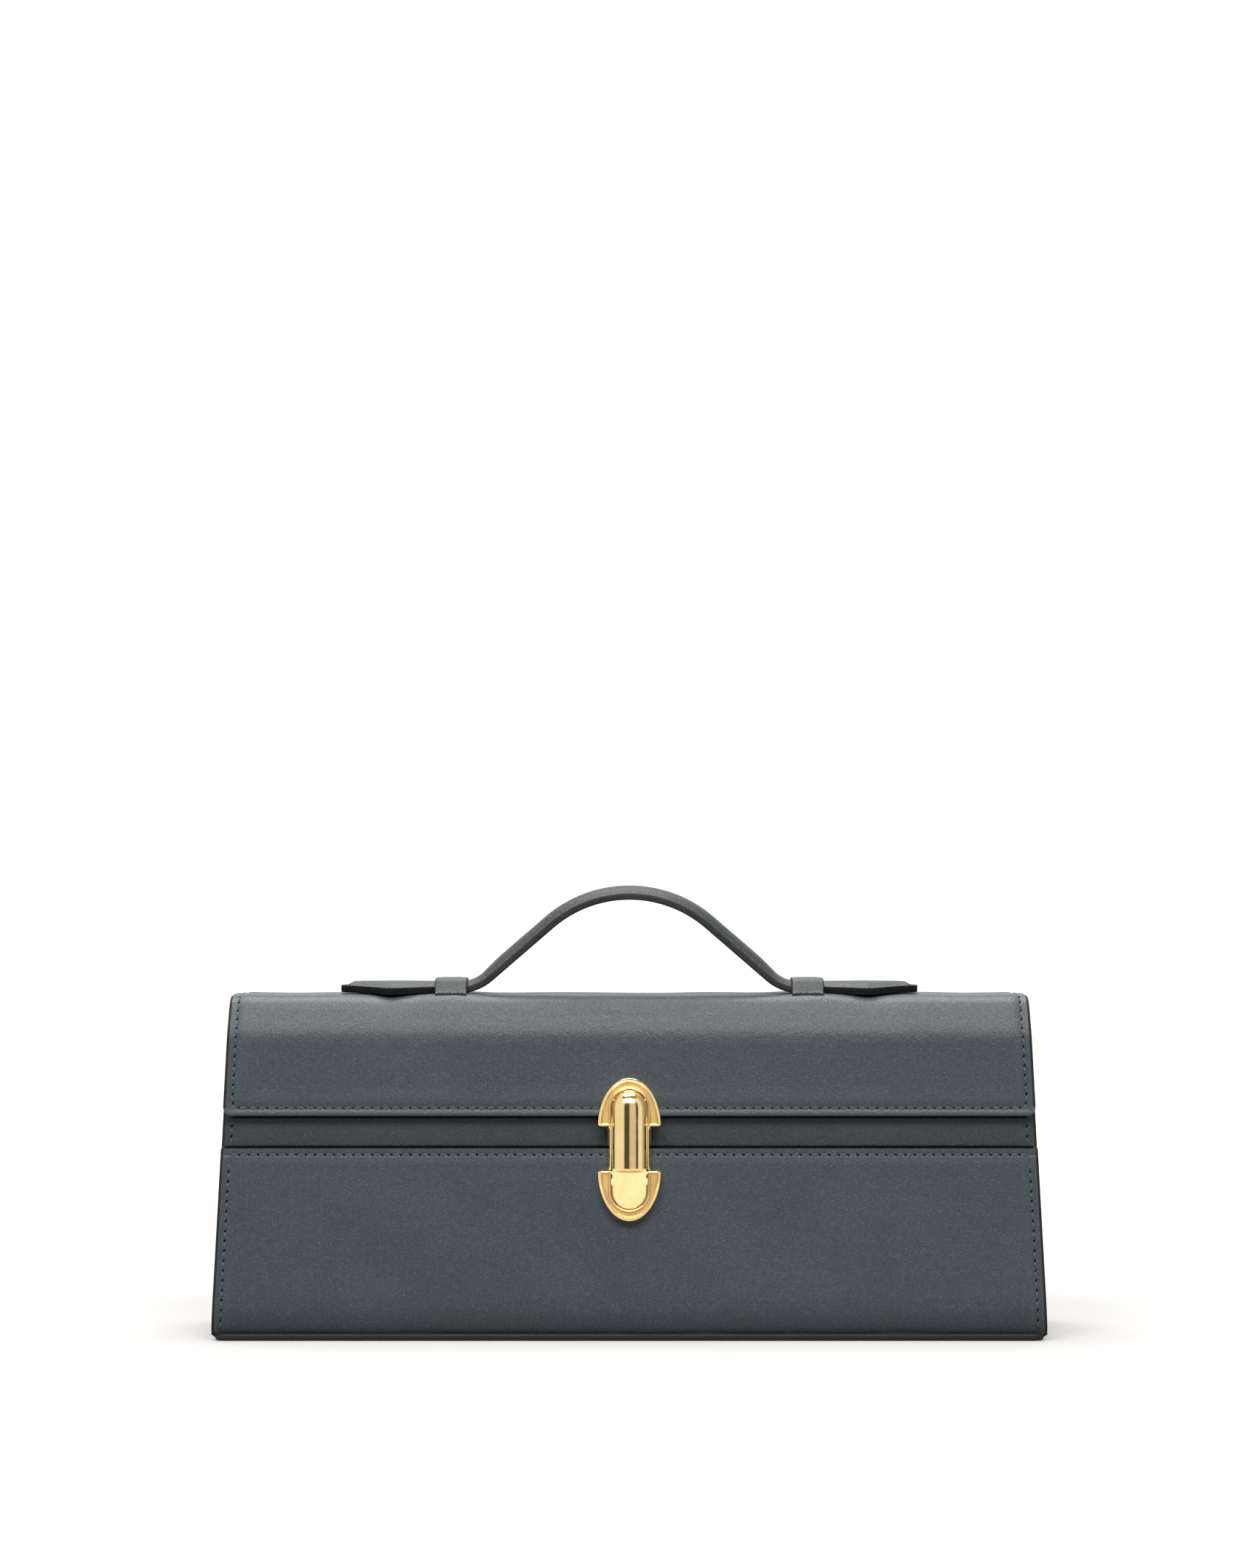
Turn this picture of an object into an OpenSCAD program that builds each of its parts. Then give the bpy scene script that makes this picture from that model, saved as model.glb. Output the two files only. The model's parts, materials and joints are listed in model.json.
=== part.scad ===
// Structured leather pochette with a top flap, a sliding strap handle and a flip lock.
// X runs to the right, Y to the back and Z up. The origin is the middle of the base.

/* [Body] */
// Width of the front and back panels at the floor
body_w = 270; // [220:5:330]
// Height of the closed bag without its handle
body_h = 111; // [103:1:130]
// Depth of the bag at the floor
body_d = 60; // [54:1:80]
// Radius that rounds the top of the bag from front to back
crown_r = 10.5; // [8:0.5:13]
// Depth of the flat strip between the two top roundings
crown_flat = 14.6; // [12:0.2:20]
// Lean of each side edge towards the middle, in degrees
side_lean = 2.6; // [0:0.05:5]
// Distance from a side edge to the gusset that closes the side
seam_w = 4.5; // [3:0.5:8]
// Height of the front wall that shows between the flap and the slip pocket
band_h = 10.6; // [8:0.2:14]
// Distance from the top of the bag down to the flap's front edge
flap_drop = 38; // [33:1:43]
// Distance from the top of the bag down to the fold behind it
fold_drop = 19; // [17:0.5:23]
// Distance from the top of the bag down to the open edge of the front wall
mouth_drop = 17; // [15:0.5:24]
// Distance from the top of the bag down to the top of each gusset
gusset_drop = 10; // [9:0.5:20]
// Height of the corners cut off the top of each gusset
gusset_corner = 6; // [5:0.5:8]

/* [Leather] */
// Thickness of the flap's outer leather
flap_leather_t = 1.6; // [1.2:0.1:2.2]
// Thickness of the board inside the flap
flap_board_t = 0.6; // [0.5:0.1:1.2]
// Thickness of the flap's lining
flap_lining_t = 0.8; // [0.5:0.1:1.2]
// Thickness of the front pocket's leather
pocket_t = 2; // [1.4:0.1:2.2]
// Thickness of the front wall behind the pocket
wall_t = 1.6; // [1.2:0.1:2.4]
// Thickness of the back wall's leather
back_t = 2; // [1.4:0.1:2.4]
// Thickness of each gusset
gusset_t = 1.5; // [1:0.1:2.2]
// Thickness of the lining
lining_t = 0.8; // [0.5:0.1:1.2]
// Thickness of the sole that the bag stands on
base_t = 2.4; // [1.8:0.1:3.5]
// Thickness of the board on the sole
base_board_t = 2; // [1.5:0.1:3]
// Setback of the sole's edge from the walls
base_setback = 0.8; // [0.4:0.1:1.2]
// Radius of the sole's corners
base_corner_r = 3; // [1:0.5:6]

/* [Handle] */
// Width of the strap
strap_w = 14; // [10:0.5:18]
// Thickness of the strap's flat edge
strap_edge_t = 2.3; // [1.8:0.1:3]
// Height of the padding above the strap's edge
strap_pad_t = 1.5; // [1:0.1:2]
// Width of the strap's flat edge beside the padding
pad_margin = 2.3; // [1.5:0.1:3]
// Height of the arch above the top of the bag, on the strap's underside
handle_rise = 30.7; // [28:0.1:35]
// Radius of the arch at its top, on the strap's underside
crown_bend_r = 38; // [32:1:40]
// Radius of the bend that brings the strap level at each keeper
foot_bend_r = 11.4; // [9:0.2:13]
// Half of the length of the middle part of the arch
crown_half = 24; // [18:1:26]
// Distance from the middle of the bag to the middle of each keeper
keeper_x = 58.4; // [56:0.2:66]
// Length of each keeper along the bag
keeper_l = 10.5; // [8:0.5:12]
// Thickness of each keeper's leather
keeper_t = 1.2; // [0.9:0.1:1.6]
// Radius of each keeper's top corners
keeper_r = 1.5; // [0.5:0.1:3]
// Distance from a keeper's outer face to the widest place of the tab
tab_flare_l = 14.6; // [12:0.2:18]
// Width of the tab at its widest place
tab_w = 23; // [18:0.5:26]
// Distance from the widest place of the tab to its tip
tab_point_l = 16.5; // [13:0.5:20]
// Radius of the tab's tip
tab_tip_r = 4.5; // [3:0.5:6]
// Distance from the end of the padding to the tab's tip
pad_end_l = 4.3; // [3:0.1:6]

/* [Lock] */
// Width of the two lock plates
lock_w = 20.4; // [19.8:0.2:24]
// Distance from the flap's front edge down to the lock's lower end
lock_drop = 34.5; // [33:0.1:35]
// Length of the lower plate
lock_foot_l = 16.2; // [15:0.2:18]
// Length of the neck between the two plates
lock_neck_l = 14.4; // [13:0.2:15]
// Width of the neck
lock_neck_w = 14.2; // [13.6:0.1:16]
// Length of the arched upper plate
lock_arch_l = 15.6; // [14.6:0.2:18]
// Thickness of the lock plates at their rims
plate_t = 3.2; // [3:0.1:4]
// Thickness of the plates under the lever
plate_floor_t = 0.8; // [0.7:0.1:1]
// Width of the raised outer rim of the plates
plate_rim_w = 1.05; // [0.7:0.05:1.2]
// Width of the raised rim beside the lever
plate_inner_rim_w = 0.8; // [0.6:0.05:1]
// Depth of the sunk band between the rims
plate_recess = 0.6; // [0.3:0.05:0.65]

/* [Lever] */
// Width of the lever
lever_w = 11; // [10:0.1:11.4]
// Length of the lever
lever_l = 38.1; // [37:0.1:38.6]
// Height of the lever above its flat underside
lever_rise = 5; // [4:0.1:6]
// Radius across the top of the lever
lever_crest_r = 6.5; // [6:0.1:9]
// Length of the sloping thumb face
thumb_l = 12; // [9:0.5:14]
// Thickness of the lever at the end of the thumb face
thumb_end_t = 1.9; // [1.2:0.1:2.6]
// Distance from the lower end of the lock to the lever's lower end
lever_foot = 4; // [3.6:0.1:4.4]
// Distance from the lever's upper end to its pin
pin_back = 3; // [2.8:0.1:3.6]
// Height of the pin above the leather
pin_rise = 2; // [1.9:0.05:2.05]
// Radius of the pin
pin_r = 0.5; // [0.4:0.05:0.55]
// How far the lever lifts, in degrees
lever_open = 35; // [20:1:38]

/* [Fasteners] */
// Radius of the lock screws
screw_r = 0.9; // [0.6:0.1:1]
// Radius of the lock screws' heads
screw_head_r = 1.6; // [1.3:0.1:1.8]
// Thickness of the lock screws' heads
screw_head_t = 0.3; // [0.2:0.05:0.4]
// Depth of the lock screws in the plates
screw_depth = 1.2; // [0.9:0.1:1.3]
// Thickness of the plate behind the front pocket's leather
lower_backing_t = 0.8; // [0.6:0.05:0.9]
// Height of the plates behind the leather
backing_h = 6.5; // [5:0.1:7]
// Distance from the flap's front edge to the plate behind its leather
backing_edge = 1; // [0.6:0.1:1.5]
// Radius of the magnet and of the steel disc that it holds
magnet_r = 3; // [2:0.1:4]
// Thickness of the magnet
magnet_t = 0.5; // [0.3:0.05:0.6]
// Thickness of the steel disc in the lever
armature_t = 0.7; // [0.5:0.05:1]

/* [Clearances] */
// Gap between the closed flap and what it covers
shell_gap = 0.4; // [0.3:0.05:0.8]
// Gap at the fold behind the flap
fold_gap = 0.3; // [0.2:0.05:0.5]
// Gap round the strap on the flap, in the keepers and at its joins
strap_gap = 0.3; // [0.25:0.05:0.5]
// Gap between the lever and the plates
lever_gap = 0.3; // [0.25:0.01:0.4]
// Gap beside the lever
lever_side_gap = 0.4; // [0.3:0.05:0.5]
// Gap between the neck and the lower plate
lock_split_gap = 0.3; // [0.2:0.05:0.5]
// Running clearance of the pin in the lever
pin_fit = 0.05; // [0.02:0.01:0.08]

/* [Hidden] */

leather = [0.30, 0.335, 0.365];
leather_edge = [0.16, 0.17, 0.17];
lining_colour = [0.36, 0.39, 0.42];
board_colour = [0.75, 0.72, 0.66];
gold = [0.85, 0.68, 0.36];
steel = [0.62, 0.63, 0.65];

// One overrun serves every cut that runs past a face
over = body_d;
round_fn = 96;
small_fn = 48;
// Straight steps in each arc of an outline
arc_steps = 18;
// Straight steps in the half ellipse of a lock plate
ellipse_steps = 28;

// The walls are tangent to the top rounding and pass through the foot
crown_c = [crown_flat / 2, body_h - crown_r];
foot_run = body_d / 2 - crown_c.x;
foot_reach = norm([foot_run, crown_c.y]);
wall_lean = atan2(foot_run, crown_c.y) - asin(crown_r / foot_reach);

flap_t = flap_leather_t + flap_board_t + flap_lining_t;
wall_in = flap_t + shell_gap;
front_in = wall_in + wall_t;
back_board_t = wall_in - back_t;
back_in = wall_in;
web_in = seam_w + gusset_t;
board_z = base_t + base_board_t;
fold_z = body_h - fold_drop;
mouth_z = body_h - mouth_drop;
gusset_z = body_h - gusset_drop;
flap_z = body_h - flap_drop;
pocket_h = flap_z - band_h;
lock_z = flap_z - lock_drop;

strap_t = strap_edge_t + strap_pad_t;
strap_z = body_h + strap_gap;
keeper_in = keeper_x - keeper_l / 2;
keeper_out = keeper_x + keeper_l / 2;
keeper_hole = strap_t + 2 * strap_gap;
crown_centre = [0, strap_z + handle_rise - crown_bend_r];
foot_centre = [keeper_in, strap_z + foot_bend_r];
bend_run = foot_centre - crown_centre;
// Slope of the straight stretch between the two bends
strap_slope = atan2(bend_run.x, bend_run.y)
    - acos((crown_bend_r + foot_bend_r) / norm(bend_run));
tab_flare_x = keeper_out + tab_flare_l;
tab_tip_x = tab_flare_x + tab_point_l;

arch_s = lock_foot_l + lock_neck_l;
lever_top = lever_foot + lever_l;
lever_base = plate_floor_t + lever_gap;
lever_end_r = lever_w / 2;
channel_r = lever_end_r + lever_side_gap;
pin_s = lever_top - pin_back;
pin_l = lever_w + 2 * lever_side_gap + 2 * plate_inner_rim_w;
screw_x = (channel_r + lock_w / 2 - plate_rim_w) / 2;
// Where the screws stand along each plate
lower_screw_share = 0.77;
lower_screw_s = lock_foot_l * lower_screw_share;
upper_screw_s = lock_drop / cos(wall_lean) + backing_edge + backing_h / 2;
upper_screw_x = screw_x - plate_rim_w / 2;
magnet_s = lever_foot + lever_end_r + magnet_r / 2;
backing_w = lock_w - 2 * plate_rim_w;

// Front wall's distance from the middle at a height, and a depth under its face
function wall_y(z, inset) =
    -body_d / 2 + z * tan(wall_lean) + inset / cos(wall_lean);

// Half of the bag's width at a height, and a distance in from its side edge
function side_x(z, inset) =
    body_w / 2 - z * tan(side_lean) - inset / cos(side_lean);

// Points along an arc about a centre, between two angles from +X
function arc(centre, r, a0, a1) = [for (i = [0:arc_steps])
    centre + r * [cos(a0 + (a1 - a0) * i / arc_steps), sin(a0 + (a1 - a0) * i / arc_steps)]];

// Outline of the closed bag seen from its side, at a depth under its face
module section(inset) {
    r = crown_r - inset;
    foot = -wall_y(0, inset);
    polygon(concat(
        [[foot, 0]], arc(crown_c, r, wall_lean, 90),
        arc([-crown_c.x, crown_c.y], r, 90, 180 - wall_lean), [[-foot, 0]]
    ));
}

// The part of an outline between two heights
module between(z0, z1) {
    intersection() {
        children();
        translate([-over, z0]) square([2 * over, z1 - z0]);
    }
}

// Everything on one side of the middle: -1 is the front, 1 is the back
module half(side) {
    translate([side > 0 ? 0 : -over, 0]) square([over, 2 * body_h]);
}

// Space inside the straight walls between two heights, at one depth from the front
// face and one from the back, with its top corners cut off
module inside(front_depth, back_depth, z0, z1, corner) {
    low = z1 - corner;
    polygon([
        [wall_y(z0, front_depth), z0], [-wall_y(z0, back_depth), z0],
        [-wall_y(low, back_depth), low], [-wall_y(z1, back_depth) - corner, z1],
        [wall_y(z1, front_depth) + corner, z1], [wall_y(low, front_depth), low],
    ]);
}

// Draws a side outline all along the bag
module along_x(x0, x1) {
    translate([x0, 0, 0]) rotate([90, 0, 90]) linear_extrude(x1 - x0) children();
}

// Cuts what it holds to the leaning side edges, at a distance in from each
module side_cut(inset) {
    top = body_h + crown_r;
    intersection() {
        children();
        translate([0, over, 0]) rotate([90, 0, 0]) linear_extrude(2 * over)
            polygon([
                [-side_x(0, inset), 0], [side_x(0, inset), 0],
                [side_x(top, inset), top], [-side_x(top, inset), top],
            ]);
    }
}

// A sheet that follows the outline between two depths, from edge to edge
module sheet(depth0, depth1, side, z0, z1, inset) {
    side_cut(inset) along_x(-body_w, body_w) between(z0, z1) intersection() {
        difference() {
            section(depth0);
            section(depth1);
        }
        half(side);
    }
}

// Layer of the flap, from the fold behind the bag to the flap's front edge
module flap_layer(depth0, depth1) {
    side_cut(0) along_x(-body_w, body_w) difference() {
        section(depth0);
        section(depth1);
        translate([-over, -over]) square([over, over + flap_z]);
        translate([0, -over]) square([over, over + fold_z + fold_gap / 2]);
    }
}

// Places things on the leaning front wall: y into the leather, z up along it
module on_front() {
    translate([0, wall_y(lock_z, 0), lock_z]) rotate([-wall_lean, 0, 0]) children();
}

// Extrudes an outline out of the front wall, from one height above it to another
module out_of_wall(h0, h1) {
    translate([0, -h0, 0]) rotate([90, 0, 0]) linear_extrude(h1 - h0) children();
}

// Sole that the bag stands on
module base_panel() {
    half_w = side_x(0, base_setback) - base_corner_r;
    half_d = body_d / 2 - base_setback - base_corner_r;
    color(leather_edge) linear_extrude(base_t) {
        for (x = [-half_w, half_w], y = [-half_d, half_d])
            translate([x, y]) circle(base_corner_r, $fn = small_fn);
        square([2 * half_w, 2 * (half_d + base_corner_r)], center = true);
        square([2 * (half_w + base_corner_r), 2 * half_d], center = true);
    }
}

// Board that stiffens the base
module base_stiffener() {
    color(board_colour) side_cut(web_in) along_x(-body_w, body_w)
        inside(front_in, back_in, base_t, board_z, 0);
}

// Front pocket's leather, thicker where it is sewn on at its sides and foot
module front_pocket_panel() {
    color(leather) difference() {
        union() {
            sheet(0, pocket_t, -1, base_t, pocket_h, 0);
            difference() {
                sheet(pocket_t, wall_in, -1, base_t, pocket_h, 0);
                side_cut(seam_w) translate([-body_w, -over, base_t + seam_w])
                    cube([2 * body_w, 2 * over, body_h]);
            }
        }
        on_front() screw_holes(lower_screw_s, screw_x, pocket_t);
    }
}

// Front wall behind the pocket
module front_panel() {
    color(leather) sheet(wall_in, front_in, -1, base_t, mouth_z, 0);
}

module back_panel() {
    color(leather) sheet(0, back_t, 1, base_t, fold_z - fold_gap / 2, 0);
}

// Board between the back wall's leather and its lining
module back_stiffener() {
    color(board_colour)
        sheet(back_t, back_in, 1, base_t, fold_z - fold_gap / 2, 0);
}

// Everything between the side edges' planes, drawn in by a distance
module side_block(inset) {
    side_cut(inset) translate([-over, -over, -over])
        cube([body_w + over, 2 * over, body_h + 2 * over]);
}

// Right side: a web with its edges turned outwards between the walls
module gusset() {
    color(leather_edge) difference() {
        side_cut(0) along_x(0, body_w)
            inside(front_in, back_in, base_t, gusset_z, gusset_corner);
        side_block(web_in);
        difference() {
            along_x(0, body_w) inside(front_in + gusset_t, back_in + gusset_t,
                base_t + gusset_t, body_h, 0);
            side_block(seam_w);
        }
    }
}

module front_lining() {
    color(lining_colour)
        sheet(front_in, front_in + lining_t, -1, board_z, mouth_z, web_in);
}

module back_lining() {
    color(lining_colour) sheet(back_in, back_in + lining_t, 1, board_z,
        fold_z - fold_gap / 2, web_in);
}

// Lining of the right gusset
module side_lining() {
    color(lining_colour) difference() {
        side_cut(web_in) along_x(0, body_w)
            inside(front_in + lining_t, back_in + lining_t, board_z, mouth_z, 0);
        side_block(web_in + lining_t);
    }
}

module base_lining() {
    color(lining_colour) side_cut(web_in + lining_t) along_x(-body_w, body_w)
        inside(front_in + lining_t, back_in + lining_t, board_z, board_z + lining_t, 0);
}

module flap_leather() {
    color(leather) difference() {
        flap_layer(0, flap_leather_t);
        on_front() screw_holes(upper_screw_s, upper_screw_x, flap_leather_t);
    }
}

// Board inside the flap, cut out for the lock's backing plate
module flap_stiffener() {
    color(board_colour) difference() {
        flap_layer(flap_leather_t, flap_leather_t + flap_board_t);
        on_front() translate([-backing_w / 2, 0, upper_screw_s - backing_h / 2])
            cube([backing_w, flap_t, backing_h]);
    }
}

module flap_lining() {
    color(lining_colour) flap_layer(flap_leather_t + flap_board_t, flap_t);
}

// Right keeper: a loop of leather over the strap, sewn down on the flap
module keeper() {
    half_hole = strap_w / 2 + strap_gap;
    half_out = half_hole + keeper_t;
    color(leather) intersection() {
        along_x(keeper_in, keeper_out) difference() {
            intersection() {
                section(-keeper_hole - keeper_t);
                translate([-half_out, 0]) square([2 * half_out, 2 * body_h]);
            }
            intersection() {
                section(-keeper_hole);
                translate([-half_hole, 0]) square([2 * half_hole, 2 * body_h]);
            }
            section(0);
        }
        translate([0, over, 0]) rotate([90, 0, 0]) linear_extrude(2 * over)
            keeper_face();
    }
}

// Keeper seen from the front, with its rounded top corners
module keeper_face() {
    top = body_h + keeper_hole + keeper_t;
    translate([keeper_in + keeper_r, 0]) square([keeper_l - 2 * keeper_r, top]);
    translate([keeper_in, 0]) square([keeper_l, top - keeper_r]);
    for (x = [keeper_in + keeper_r, keeper_out - keeper_r])
        translate([x, top - keeper_r]) circle(keeper_r, $fn = small_fn);
}

// Right half of the strap seen from the front, between two heights above its underside
module strap_line(h0, h1) {
    polygon(concat(
        arc(crown_centre, crown_bend_r + h0, 90, 90 - strap_slope),
        arc(foot_centre, foot_bend_r - h0, 270 - strap_slope, 270),
        arc(foot_centre, foot_bend_r - h1, 270, 270 - strap_slope),
        arc(crown_centre, crown_bend_r + h1, 90 - strap_slope, 90)
    ));
}

// Stretch of the right half of the strap: a flat edge with a narrower pad on it
module strap_part(x0, x1) {
    pad_w = strap_w - 2 * pad_margin;
    intersection() {
        union() {
            translate([0, strap_w / 2, 0]) rotate([90, 0, 0])
                linear_extrude(strap_w) strap_line(0, strap_edge_t);
            translate([0, pad_w / 2, 0]) rotate([90, 0, 0])
                linear_extrude(pad_w) strap_line(strap_edge_t, strap_t);
        }
        translate([x0, -over, 0]) cube([x1 - x0, 2 * over, 2 * body_h]);
    }
}

// Middle of the arch
module handle_crown() {
    color(leather) {
        strap_part(0, crown_half);
        mirror([1, 0, 0]) strap_part(0, crown_half);
    }
}

// Stretch of the strap that bends as the handle goes down
module handle_riser() {
    color(leather) strap_part(crown_half + strap_gap, keeper_in);
}

// Outline of the right tab and its neck from above, drawn in by a margin
module tab_outline(margin, end_back) {
    tip_r = tab_tip_r - margin / 2;
    neck = strap_w / 2 - margin;
    tip_x = tab_tip_x - end_back - tip_r;
    polygon([
        [keeper_in + strap_gap, -neck], [keeper_out, -neck],
        [tab_flare_x, -tab_w / 2 + margin], [tip_x, -tip_r],
        [tip_x, tip_r], [tab_flare_x, tab_w / 2 - margin],
        [keeper_out, neck], [keeper_in + strap_gap, neck],
    ]);
    translate([tip_x, 0]) circle(tip_r, $fn = small_fn);
}

// Layer of the tab between two heights above the flap, draped over its rounding
module tab_layer(h0, h1, margin, end_back) {
    intersection() {
        along_x(0, body_w) difference() {
            section(-h1);
            section(-h0);
        }
        translate([0, 0, crown_c.y - crown_r]) linear_extrude(2 * body_h)
            tab_outline(margin, end_back);
    }
}

// Right end of the strap: it slides through the keeper and rests on the flap
module handle_tab() {
    color(leather) {
        tab_layer(strap_gap, strap_gap + strap_edge_t, 0, 0);
        tab_layer(strap_gap + strap_edge_t, strap_gap + strap_t, pad_margin, pad_end_l);
    }
}

// Half ellipse standing on the X axis, with its top at a height
module arch(half_w, h) {
    polygon([for (i = [0:ellipse_steps])
        [half_w * cos(i * 180 / ellipse_steps), h * sin(i * 180 / ellipse_steps)]]);
}

// Rounded bar along the lock, from one place to another
module slot_outline(r, s0, s1) {
    translate([0, s0 + r]) circle(r, $fn = small_fn);
    translate([0, s1 - r]) circle(r, $fn = small_fn);
    translate([-r, s0 + r]) square([2 * r, s1 - s0 - 2 * r]);
}

// Channel that the lever lies in, wider by a margin
module channel_outline(margin) {
    slot_outline(channel_r + margin,
        lever_foot - lever_side_gap - margin, lever_top + lever_side_gap + margin);
}

// Lower plate's outline, drawn in by a margin
module foot_outline(margin) {
    translate([0, lock_foot_l - margin]) mirror([0, 1])
        arch(lock_w / 2 - margin, lock_foot_l - 2 * margin);
}

// Upper plate's outline without its neck, drawn in by a margin
module arch_outline(margin) {
    translate([0, arch_s + margin])
        arch(lock_w / 2 - margin, lock_arch_l - 2 * margin);
}

module neck_outline() {
    translate([-lock_neck_w / 2, lock_foot_l + lock_split_gap])
        square([lock_neck_w, lock_neck_l + plate_rim_w - lock_split_gap]);
}

// A pair of holes for the lock's screws through a depth of leather
module screw_holes(s, x, depth) {
    for (side = [-1, 1])
        translate([side * x, depth + shell_gap, s]) rotate([90, 0, 0])
            cylinder(r = screw_r, h = depth + shell_gap + screw_depth, $fn = small_fn);
}

// A pair of screws from behind the leather into a plate, for a head's depth
module screw_pair(s, x, head_depth) {
    color(steel) for (side = [-1, 1])
        translate([side * x, head_depth, s]) rotate([90, 0, 0]) {
            cylinder(r = screw_r, h = head_depth + screw_depth, $fn = small_fn);
            cylinder(r = screw_head_r, h = screw_head_t, $fn = small_fn);
        }
}

// A flat plate behind the leather that the screw heads are sunk in
module backing_plate(s, x, depth, t) {
    color(steel) difference() {
        translate([-backing_w / 2, depth, s - backing_h / 2])
            cube([backing_w, t, backing_h]);
        screw_pair(s, x, depth + t);
    }
}

// Plate of the lock from its outline, with the sunk band and the lever's channel
module lock_plate() {
    difference() {
        out_of_wall(0, plate_t) children(0);
        out_of_wall(plate_floor_t, plate_t + over) channel_outline(0);
        out_of_wall(plate_t - plate_recess, plate_t + over) difference() {
            children(1);
            channel_outline(plate_inner_rim_w);
        }
    }
}

module lock_lower_plate() {
    color(gold) on_front() difference() {
        lock_plate() {
            foot_outline(0);
            foot_outline(plate_rim_w);
        }
        screw_holes(lower_screw_s, screw_x, 0);
        translate([0, 0, magnet_s]) rotate([90, 0, 0])
            cylinder(r = magnet_r, h = magnet_t, $fn = small_fn);
    }
}

// Magnet that holds the lever down
module lock_magnet() {
    color(steel) on_front() translate([0, 0, magnet_s]) rotate([90, 0, 0])
        cylinder(r = magnet_r, h = magnet_t, $fn = small_fn);
}

module lower_backing_plate() {
    on_front() backing_plate(lower_screw_s, screw_x, pocket_t, lower_backing_t);
}

module lower_screws() {
    on_front() screw_pair(lower_screw_s, screw_x, pocket_t + lower_backing_t);
}

// Upper plate with the neck that reaches down over the front wall
module lock_upper_plate() {
    color(gold) on_front() difference() {
        lock_plate() {
            union() {
                arch_outline(0);
                neck_outline();
            }
            arch_outline(plate_rim_w);
        }
        screw_holes(upper_screw_s, upper_screw_x, 0);
        pin_shape(pin_r, pin_l);
    }
}

module upper_backing_plate() {
    on_front() backing_plate(upper_screw_s, upper_screw_x, flap_leather_t, flap_board_t);
}

module upper_screws() {
    on_front() screw_pair(upper_screw_s, upper_screw_x, flap_leather_t + flap_board_t);
}

// Cylinder on the lever's axis
module pin_shape(r, l) {
    translate([-l / 2, -pin_rise, pin_s]) rotate([0, 90, 0])
        cylinder(r = r, h = l, $fn = small_fn);
}

module lever_pin() {
    color(steel) on_front() pin_shape(pin_r, pin_l);
}

// Steel disc's space in the lever's underside, over the magnet
module armature_shape() {
    translate([0, -lever_base, magnet_s]) rotate([90, 0, 0])
        cylinder(r = magnet_r, h = armature_t, $fn = small_fn);
}

// Domed bar with a sloping thumb face at its lower end
module lock_lever() {
    thumb_slope = atan2(lever_rise - thumb_end_t, thumb_l);
    crest_axis = lever_base + lever_rise - lever_crest_r;
    color(gold) on_front() difference() {
        intersection() {
            out_of_wall(lever_base, lever_base + lever_rise)
                slot_outline(lever_end_r, lever_foot, lever_top);
            translate([0, -crest_axis, 0]) union() {
                cylinder(r = lever_crest_r, h = lever_top - lever_end_r, $fn = round_fn);
                translate([0, 0, lever_top - lever_end_r])
                    sphere(lever_crest_r, $fn = round_fn);
            }
        }
        translate([0, -lever_base - thumb_end_t, lever_foot])
            rotate([thumb_slope, 0, 0]) translate([-over, -over, -over])
            cube([2 * over, over, 2 * over]);
        translate([0, -pin_rise, pin_s]) rotate([lever_open, 0, 0])
            translate([-over, pin_rise - lever_base, -over]) cube(2 * over);
        pin_shape(pin_r + pin_fit, lock_w);
        armature_shape();
    }
}

module lever_armature() {
    color(steel) on_front() armature_shape();
}

base_panel();
base_stiffener();
front_pocket_panel();
front_panel();
back_panel();
back_stiffener();
mirror([1, 0, 0]) gusset();  // left_gusset
gusset();  // right_gusset
front_lining();
back_lining();
mirror([1, 0, 0]) side_lining();  // left_lining
side_lining();  // right_lining
base_lining();
flap_leather();
flap_stiffener();
flap_lining();
mirror([1, 0, 0]) keeper();  // keeper_left
keeper();  // keeper_right
handle_crown();
mirror([1, 0, 0]) handle_riser();  // handle_riser_left
handle_riser();  // handle_riser_right
mirror([1, 0, 0]) handle_tab();  // handle_tab_left
handle_tab();  // handle_tab_right
lock_lower_plate();
lock_magnet();
lower_backing_plate();
lower_screws();
lock_upper_plate();
upper_backing_plate();
upper_screws();
lever_pin();
lock_lever();
lever_armature();
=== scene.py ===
"""Looks of the structured leather pochette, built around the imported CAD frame."""

import json
import math

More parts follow.
